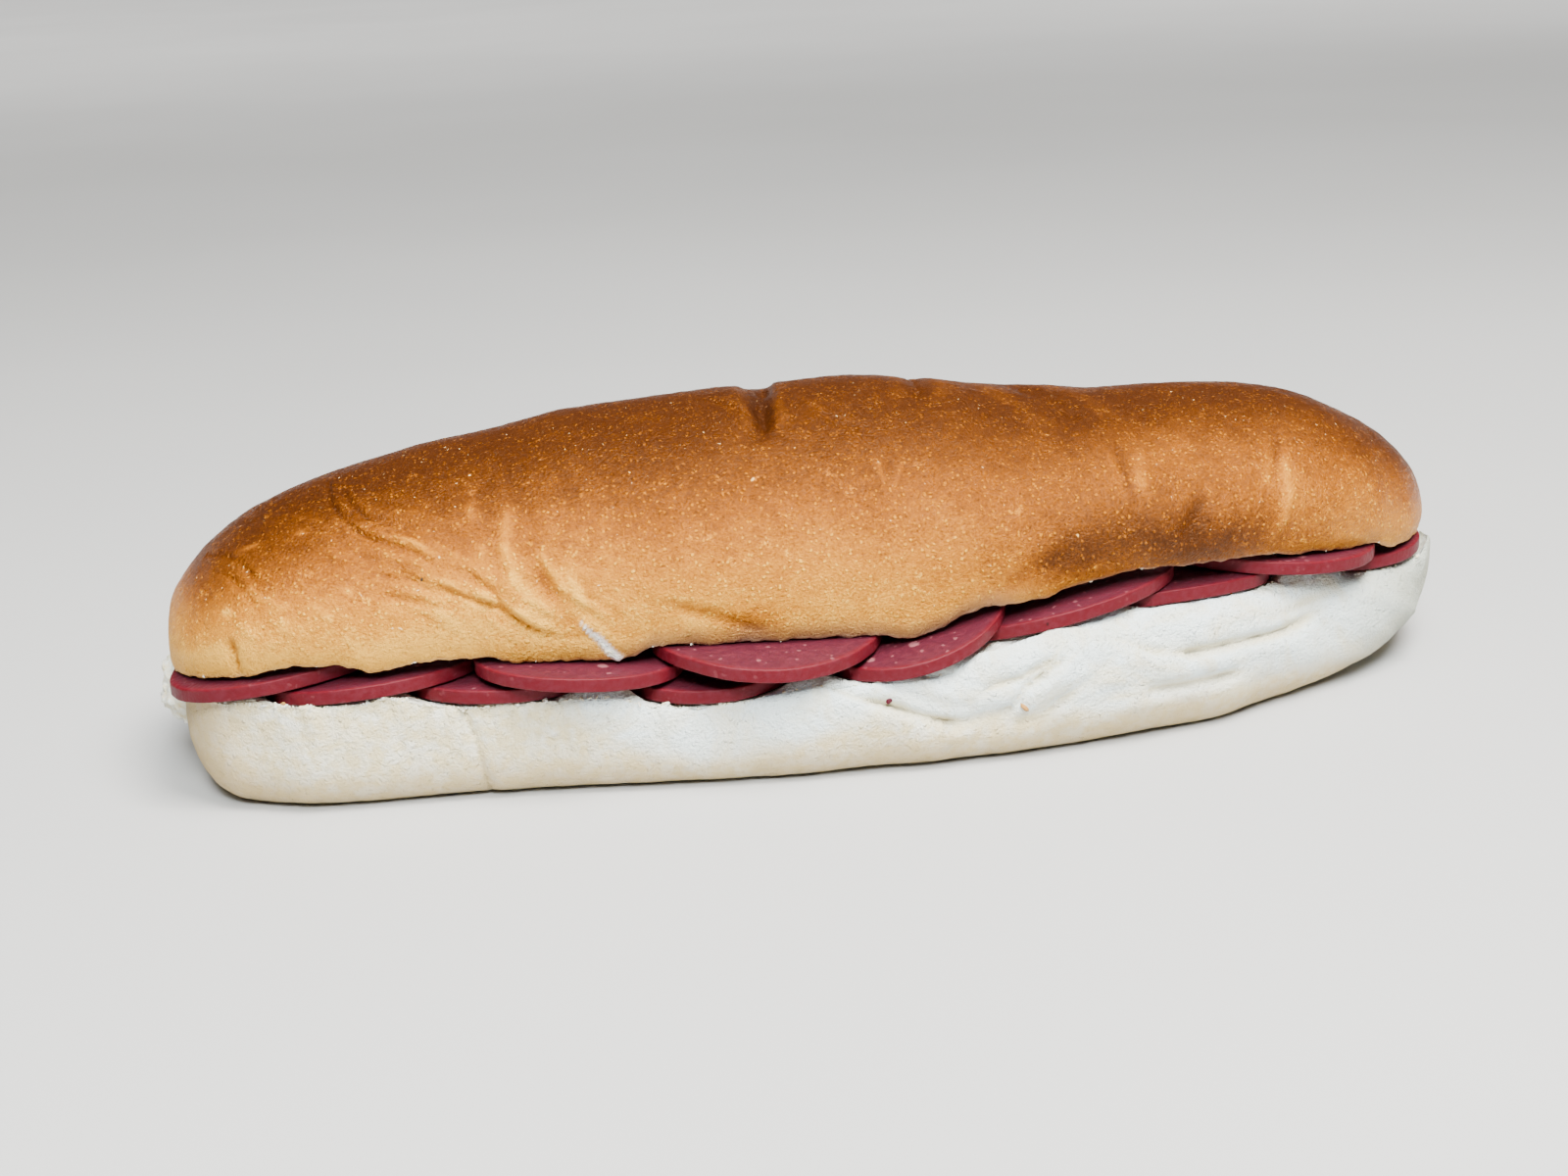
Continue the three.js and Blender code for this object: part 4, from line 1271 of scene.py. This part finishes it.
def flecks(tree, where, scale, reach, keep):
    """A mask of flecks in a random share of the cells."""
    made = node(tree, "ShaderNodeTexVoronoi", Scale=scale, feature="F1")
    feed(tree, made.inputs["Vector"], where)
    spot = map_range(tree, made.outputs["Distance"], 0.6 * reach, reach, 1.0, 0.0, True)
    split = node(tree, "ShaderNodeSeparateColor")
    feed(tree, split.inputs[0], made.outputs["Color"])
    kept = map_range(tree, split.outputs[0], 1 - keep, 1 - keep + 0.02, 0.0, 1.0)
    return times(tree, spot, kept)


print("noise helpers ready")

# %% [markdown]
# ## Crust and crumb
# One material covers the bread, because on a real roll the crust fades into pale skin and skin tears
# into crumb with no line between them. The baked number picks the crust's colour from cream over gold
# to dark brown. Fine pale specks and dark pores, under a millimetre across, are what make a soft crust
# look baked and not painted, so the larger ones change colour and height together. A single brown with
# a gloss would look like plastic.

# %% Colours of the bread
CRUST_STOPS = [
    (0.00, (0.68, 0.340, 0.040)),
    (0.20, (0.50, 0.200, 0.012)),
    (0.40, (0.36, 0.122, 0.0050)),
    (0.60, (0.21, 0.058, 0.0020)),
    (0.80, (0.100, 0.025, 0.0009)),
    (1.00, (0.045, 0.010, 0.0004)),
]
CREAM = (0.72, 0.62, 0.37, 1.0)
WHITE = (0.82, 0.83, 0.76, 1.0)
TORN_WHITE = (0.97, 0.97, 0.94, 1.0)
# The next five colours: a white in painted cool light, a tan that is partly painted shade, and three
# colours of painted shade
WHITE_IN_COOL_LIGHT = (0.76, 0.86, 0.87, 1.0)
TAN = (0.50, 0.36, 0.17, 1.0)
END_SHADE_GREY = (0.42, 0.44, 0.37, 1.0)
LIP_SHADE_BROWN = (0.30, 0.150, 0.070, 1.0)
NOTCH_SHADE_BROWN = (0.022, 0.0045, 0.0006, 1.0)
WARM_GLOSS = (1.0, 0.74, 0.48, 1.0)
print("crust from cream to brown in %d stops" % len(CRUST_STOPS))

# %% Crust: browning, specks and pores
bread_material, tree, shader = new_material("baked_bread")
where = place(tree)
cloud = noise_texture(tree, where, 70, 4)
mottle = noise_texture(tree, where, 420, 3)
speck = noise_texture(tree, where, 1900, 3, 0.65)
fine_spots = flecks(tree, ruffle(tree, where, 900, 0.0005), 1000, 0.36, 0.55)
blotches = times(tree, flecks(tree, ruffle(tree, where, 420, 0.003), 300, 0.30, 0.14),
                 map_range(tree, speck, 0.42, 0.56, 0.0, 1.0))
baked = plus_share(tree, stored(tree, "bake"), 0.18, cloud)
baked = math_node(tree, "SUBTRACT", baked, 0.09)
baked = math_node(tree, "ADD", baked, map_range(tree, mottle, 0.3, 0.7, -0.06, 0.06), clamp=True)
pale_specks = map_range(tree, speck, 0.53, 0.68, 0.0, 1.0)
dark_pores = map_range(tree, speck, 0.45, 0.30, 0.0, 1.0)
speckled = plus_share(tree, baked, -0.18, pale_specks)
speckled = plus_share(tree, speckled, -0.32, fine_spots)
speckled = plus_share(tree, speckled, -0.25, blotches)
speckled = plus_share(tree, speckled, 0.20, dark_pores, clamp=True)
crust_colour = ramp(tree, speckled, CRUST_STOPS)
# Painted shade above the upper lip
crust_colour = mix_colour(tree, stored(tree, "painted_lip_shade"), crust_colour, LIP_SHADE_BROWN)
# Painted shade in the pinch notch
crust_colour = mix_colour(tree, times(tree, stored(tree, "notch_shade"), 0.62), crust_colour, NOTCH_SHADE_BROWN)
print("crust colour: %d nodes" % len(tree.nodes))

# %% Pale skin and crumb
patches = noise_texture(tree, where, 95, 4, 0.6, 0.8)
cream_patches = map_range(tree, patches, 0.44, 0.66, 0.0, 0.8)
# Cream in random patches, and painted shade in the hollows of the folds
cream_and_shade_share = math_node(tree, "MAXIMUM", stored(tree, "hollow_shade"), cream_patches)
white_patches = map_range(tree, mottle, 0.40, 0.62, 0.0, 0.7)
white_share = math_node(tree, "MAXIMUM", stored(tree, "crumb"), white_patches)
# Painted cool light: a bluish white on the torn white crumb
whites = mix_colour(tree, stored(tree, "cool_light_white"), WHITE, WHITE_IN_COOL_LIGHT)
skin_colour = mix_colour(tree, white_share, CREAM, whites)
skin_colour = mix_colour(tree, times(tree, cream_and_shade_share, 0.75), skin_colour, CREAM)
# Tan near the base, partly toasting and partly painted shade, and painted shade at the left end
skin_colour = mix_colour(tree, times(tree, stored(tree, "toast_and_shade"), 0.8), skin_colour, TAN)
# Painted shade: the lower front turns grey towards the right end
skin_colour = mix_colour(tree, stored(tree, "right_end_shade"), skin_colour, END_SHADE_GREY)
bread_colour = mix_colour(tree, stored(tree, "crusted"), skin_colour, crust_colour)
torn_crust = times(tree, stored(tree, "crumb"), stored(tree, "crusted"))
bread_colour = mix_colour(tree, torn_crust, bread_colour, TORN_WHITE)
print("bread colour: %d nodes" % len(tree.nodes))

# %% Gloss and fine height of the bread
dry = map_range(tree, baked, 0.1, 0.5, 0.50, 0.30)
dry = math_node(tree, "ADD", dry, map_range(tree, mottle, 0.3, 0.7, -0.05, 0.05))
pale = math_node(tree, "SUBTRACT", 1.0, stored(tree, "crusted"))
dull = math_node(tree, "MAXIMUM", stored(tree, "crumb"), pale)
pores = noise_texture(tree, where, 2000, 2)
fluff = noise_texture(tree, where, 850, 4, 0.65)
fine_height = plus_share(tree, pores, 1.5, speck)
fine_height = plus_share(tree, fine_height, 0.7, fine_spots)
crust_normal = bump(tree, fine_height, 0.0003, 0.9)
finish_with(tree, shader, {
    "Base Color": bread_colour,
    "Roughness": plus_share(tree, dry, 0.3, dull),
    "Specular IOR Level": 0.2,
    "Specular Tint": WARM_GLOSS,
    "Normal": bump(tree, times(tree, fluff, dull), 0.0009, 0.6, crust_normal),
})
bread.data.materials.append(bread_material)
print("bread material: %d nodes" % len(tree.nodes))

# %% [markdown]
# ## Cured sausage
# Sliced sausage is a paste of lean meat with bits of fat. The rim is a deep even red, and the cut faces
# are a little more mauve, with pale flecks of fat of all sizes and a few dark grains of spice. A
# picture of a slice would show the same flecks on each one. Cells of a Voronoi pattern, bent by noise
# so that they aren't round, give flecks that run through the slice as real fat does.

# %% Sausage material
RIM_RED = (0.096, 0.0038, 0.0088, 1.0)
FACE_RED = (0.062, 0.0085, 0.0165, 1.0)
LIGHT_RED = (0.112, 0.016, 0.026, 1.0)
FAT = (0.26, 0.085, 0.095, 1.0)
SPICE = (0.02, 0.003, 0.004, 1.0)
RED_DEPTHS = (1.0, 0.35, 0.3)

sausage_material, tree, shader = new_material("cured_sausage")
where = place(tree)
ruffled = ruffle(tree, where, 500, 0.0016)
paste = noise_texture(tree, where, 900, 4)
meat = mix_colour(tree, stored(tree, "rim"), FACE_RED, RIM_RED)
meat = mix_colour(tree, map_range(tree, paste, 0.42, 0.72, 0.0, 0.6), meat, LIGHT_RED)
large = flecks(tree, ruffled, 230, 0.26, 0.14)
small = flecks(tree, ruffled, 760, 0.34, 0.16)
fat = math_node(tree, "MAXIMUM", large, times(tree, small, 0.7))
fat = times(tree, fat, map_range(tree, stored(tree, "rim"), 0.0, 1.0, 0.85, 0.25))
meat = mix_colour(tree, fat, meat, FAT)
spice = flecks(tree, ruffled, 330, 0.12, 0.10)
finish_with(tree, shader, {
    "Base Color": mix_colour(tree, times(tree, spice, 0.8), meat, SPICE),
    "Roughness": map_range(tree, paste, 0.3, 0.7, 0.40, 0.58),
    "Normal": bump(tree, paste, 0.0003, 0.5),
    "Specular IOR Level": 0.15,
    "Subsurface Weight": 0.1,
    "Subsurface Radius": RED_DEPTHS,
    "Subsurface Scale": 0.002,
})
for piece in slices + [meat_bit]:
    piece.data.materials.append(sausage_material)
print("sausage material: %d nodes" % len(tree.nodes))

# %% [markdown]
# ## Soft crumb, flour and baked bits
# The lump, the crumbs and the torn threads are the bread's white inside, rough and without gloss. The
# flecks are flour that browned a little in the oven. They could take the bread's material, but its
# stored numbers belong to the bread's own points, so each kind has a simple material of its own.

# %% Crumb, flour and bit materials
PALE_SPECK = (0.60, 0.33, 0.10, 1.0)
FLOUR = (0.74, 0.52, 0.27, 1.0)
GOLDEN = (0.42, 0.20, 0.04, 1.0)
BURNT = (0.012, 0.007, 0.004, 1.0)

crumb_material, tree, shader = new_material("soft_crumb")
fluff = noise_texture(tree, place(tree), 700, 5, 0.7)
finish_with(tree, shader, {
    "Base Color": ramp(tree, fluff, [(0.35, CREAM[:3]), (0.6, WHITE[:3])]),
    "Normal": bump(tree, fluff, 0.001, 0.7),
    "Roughness": 0.9,
    "Specular IOR Level": 0.15,
})
for piece in (end_crumb, crumbs, torn_fibres):
    piece.data.materials.append(crumb_material)

flour_material, tree, shader = new_material("flour")
tone = noise_texture(tree, place(tree), 300, 2)
flour_colour = ramp(tree, tone, [(0.35, PALE_SPECK[:3]), (0.65, FLOUR[:3])])
finish_with(tree, shader, {"Base Color": flour_colour, "Roughness": 0.85})
flour.data.materials.append(flour_material)

for piece, name, plain in ((baked_bit, "golden_crumb", GOLDEN), (burnt_bit, "burnt_crumb", BURNT)):
    bit_material, tree, shader = new_material(name)
    finish_with(tree, shader, {"Base Color": plain, "Roughness": 0.7})
    piece.data.materials.append(bit_material)
print("crumb, flour and bit materials ready")

# %% [markdown]
# ## Floor, light and camera
# The floor is a plain pale sheet, wide enough to run out of the picture. The light is that of a small
# studio: a soft box overhead, which draws the broad gloss along the crown, a soft fill from the front,
# a large ceiling panel and a pale surround. One lamp strong enough for the whole floor would burn out
# the bread. So four more panels hang over the far floor, with a narrow spread that keeps their light
# off the roll. The camera stands where the photograph was taken from: a little left of the middle,
# looking down by seventeen degrees, and turned very slightly about its own axis.

# %% Floor
FLOOR_HALF = 12.0
FLOOR_TONES = [(0.3, (0.44, 0.44, 0.435)), (0.7, (0.47, 0.47, 0.465))]

floor_mesh = bpy.data.meshes.new("floor")
corners = [(FLOOR_HALF * x, FLOOR_HALF * y, 0) for x, y in ((-1, -1), (1, -1), (1, 1), (-1, 1))]
floor_mesh.from_pydata(corners, [], [(0, 1, 2, 3)])
floor = bpy.data.objects.new("floor", floor_mesh)
bpy.context.collection.objects.link(floor)
floor_material, tree, shader = new_material("pale_floor")
tone = noise_texture(tree, place(tree), 3, 2)
finish_with(tree, shader, {"Base Color": ramp(tree, tone, FLOOR_TONES), "Roughness": 0.75})
floor_mesh.materials.append(floor_material)
print("floor: %.0f m square" % (2 * FLOOR_HALF))

# %% Lights
ROLL_MIDDLE = (0.0, 0.0, 0.03)
WARM_LIGHT = (1.0, 0.96, 0.90)
COOL_LIGHT = (0.93, 0.98, 1.0)
PLAIN_LIGHT = (1.0, 0.99, 0.97)
FAR_PANEL_OUT = 4.0
FAR_PANEL_HEIGHT = 1.6
FAR_PANEL_POWER = 165.0
FAR_PANEL_SPREAD = 80


def soft_box(name, place, aim, size, power, colour, spread=180):
    lamp = bpy.data.lights.new(name, "AREA")
    lamp.shape = "RECTANGLE"
    lamp.size, lamp.size_y = size
    lamp.energy = power
    lamp.color = colour
    lamp.spread = math.radians(spread)
    made = bpy.data.objects.new(name, lamp)
    made.location = place
    made.rotation_euler = (Vector(aim) - Vector(place)).to_track_quat("-Z", "Y").to_euler()
    bpy.context.collection.objects.link(made)


soft_box("overhead", (0.20, -0.32, 0.86), ROLL_MIDDLE, (0.42, 0.40), 25.0, WARM_LIGHT)
soft_box("front_fill", (-0.14, -0.80, 0.80), ROLL_MIDDLE, (0.35, 0.3), 26.0, COOL_LIGHT)
soft_box("ceiling", (0.0, -0.6, 3.0), (0.0, 0.0, 0.0), (2.2, 2.2), 95.0, PLAIN_LIGHT)
for number, (side_x, side_y) in enumerate([(0, 1), (1, 0), (0, -1), (-1, 0)], start=1):
    over = (FAR_PANEL_OUT * side_x, FAR_PANEL_OUT * side_y)
    panel = (6.0, 5.0) if side_y else (5.0, 6.0)
    soft_box("far_floor_%d" % number, (*over, FAR_PANEL_HEIGHT), (*over, 0.0), panel,
             FAR_PANEL_POWER, PLAIN_LIGHT, FAR_PANEL_SPREAD)
world = bpy.data.worlds.new("studio")
world.use_nodes = True
surround = world.node_tree.nodes["Background"]
surround.inputs["Color"].default_value = (0.97, 0.97, 0.95, 1.0)
surround.inputs["Strength"].default_value = 0.12
bpy.context.scene.world = world
print("lights: three soft boxes, four panels over the far floor and a pale surround")

# %% Camera
CAMERA_AZIMUTH = math.radians(-10.5)
CAMERA_ELEVATION = math.radians(17.395)
CAMERA_ROLL = math.radians(-2.692)
CAMERA_PLACE = np.array([-85.3, -417.7, 155.5])
FOCAL_LENGTH = 52.0
SENSOR_WIDTH = 36.0
FARTHEST = 50

lens = bpy.data.cameras.new("camera")
lens.lens = FOCAL_LENGTH
lens.sensor_width = SENSOR_WIDTH
lens.clip_end = FARTHEST
camera = bpy.data.objects.new("camera", lens)
back = Vector((
    math.sin(CAMERA_AZIMUTH) * math.cos(CAMERA_ELEVATION),
    -math.cos(CAMERA_AZIMUTH) * math.cos(CAMERA_ELEVATION),
    math.sin(CAMERA_ELEVATION),
))
right = Vector((math.cos(CAMERA_AZIMUTH), math.sin(CAMERA_AZIMUTH), 0))
upward = back.cross(right)
rolled_right = math.cos(CAMERA_ROLL) * right + math.sin(CAMERA_ROLL) * upward
rolled_up = math.cos(CAMERA_ROLL) * upward - math.sin(CAMERA_ROLL) * right
turned = Matrix((rolled_right, rolled_up, back)).transposed().to_4x4()
camera.matrix_world = Matrix.Translation((CAMERA_PLACE - ORIGIN) * MM) @ turned
bpy.context.collection.objects.link(camera)
bpy.context.scene.camera = camera
print("camera %.0f mm from the roll" % np.linalg.norm(CAMERA_PLACE))
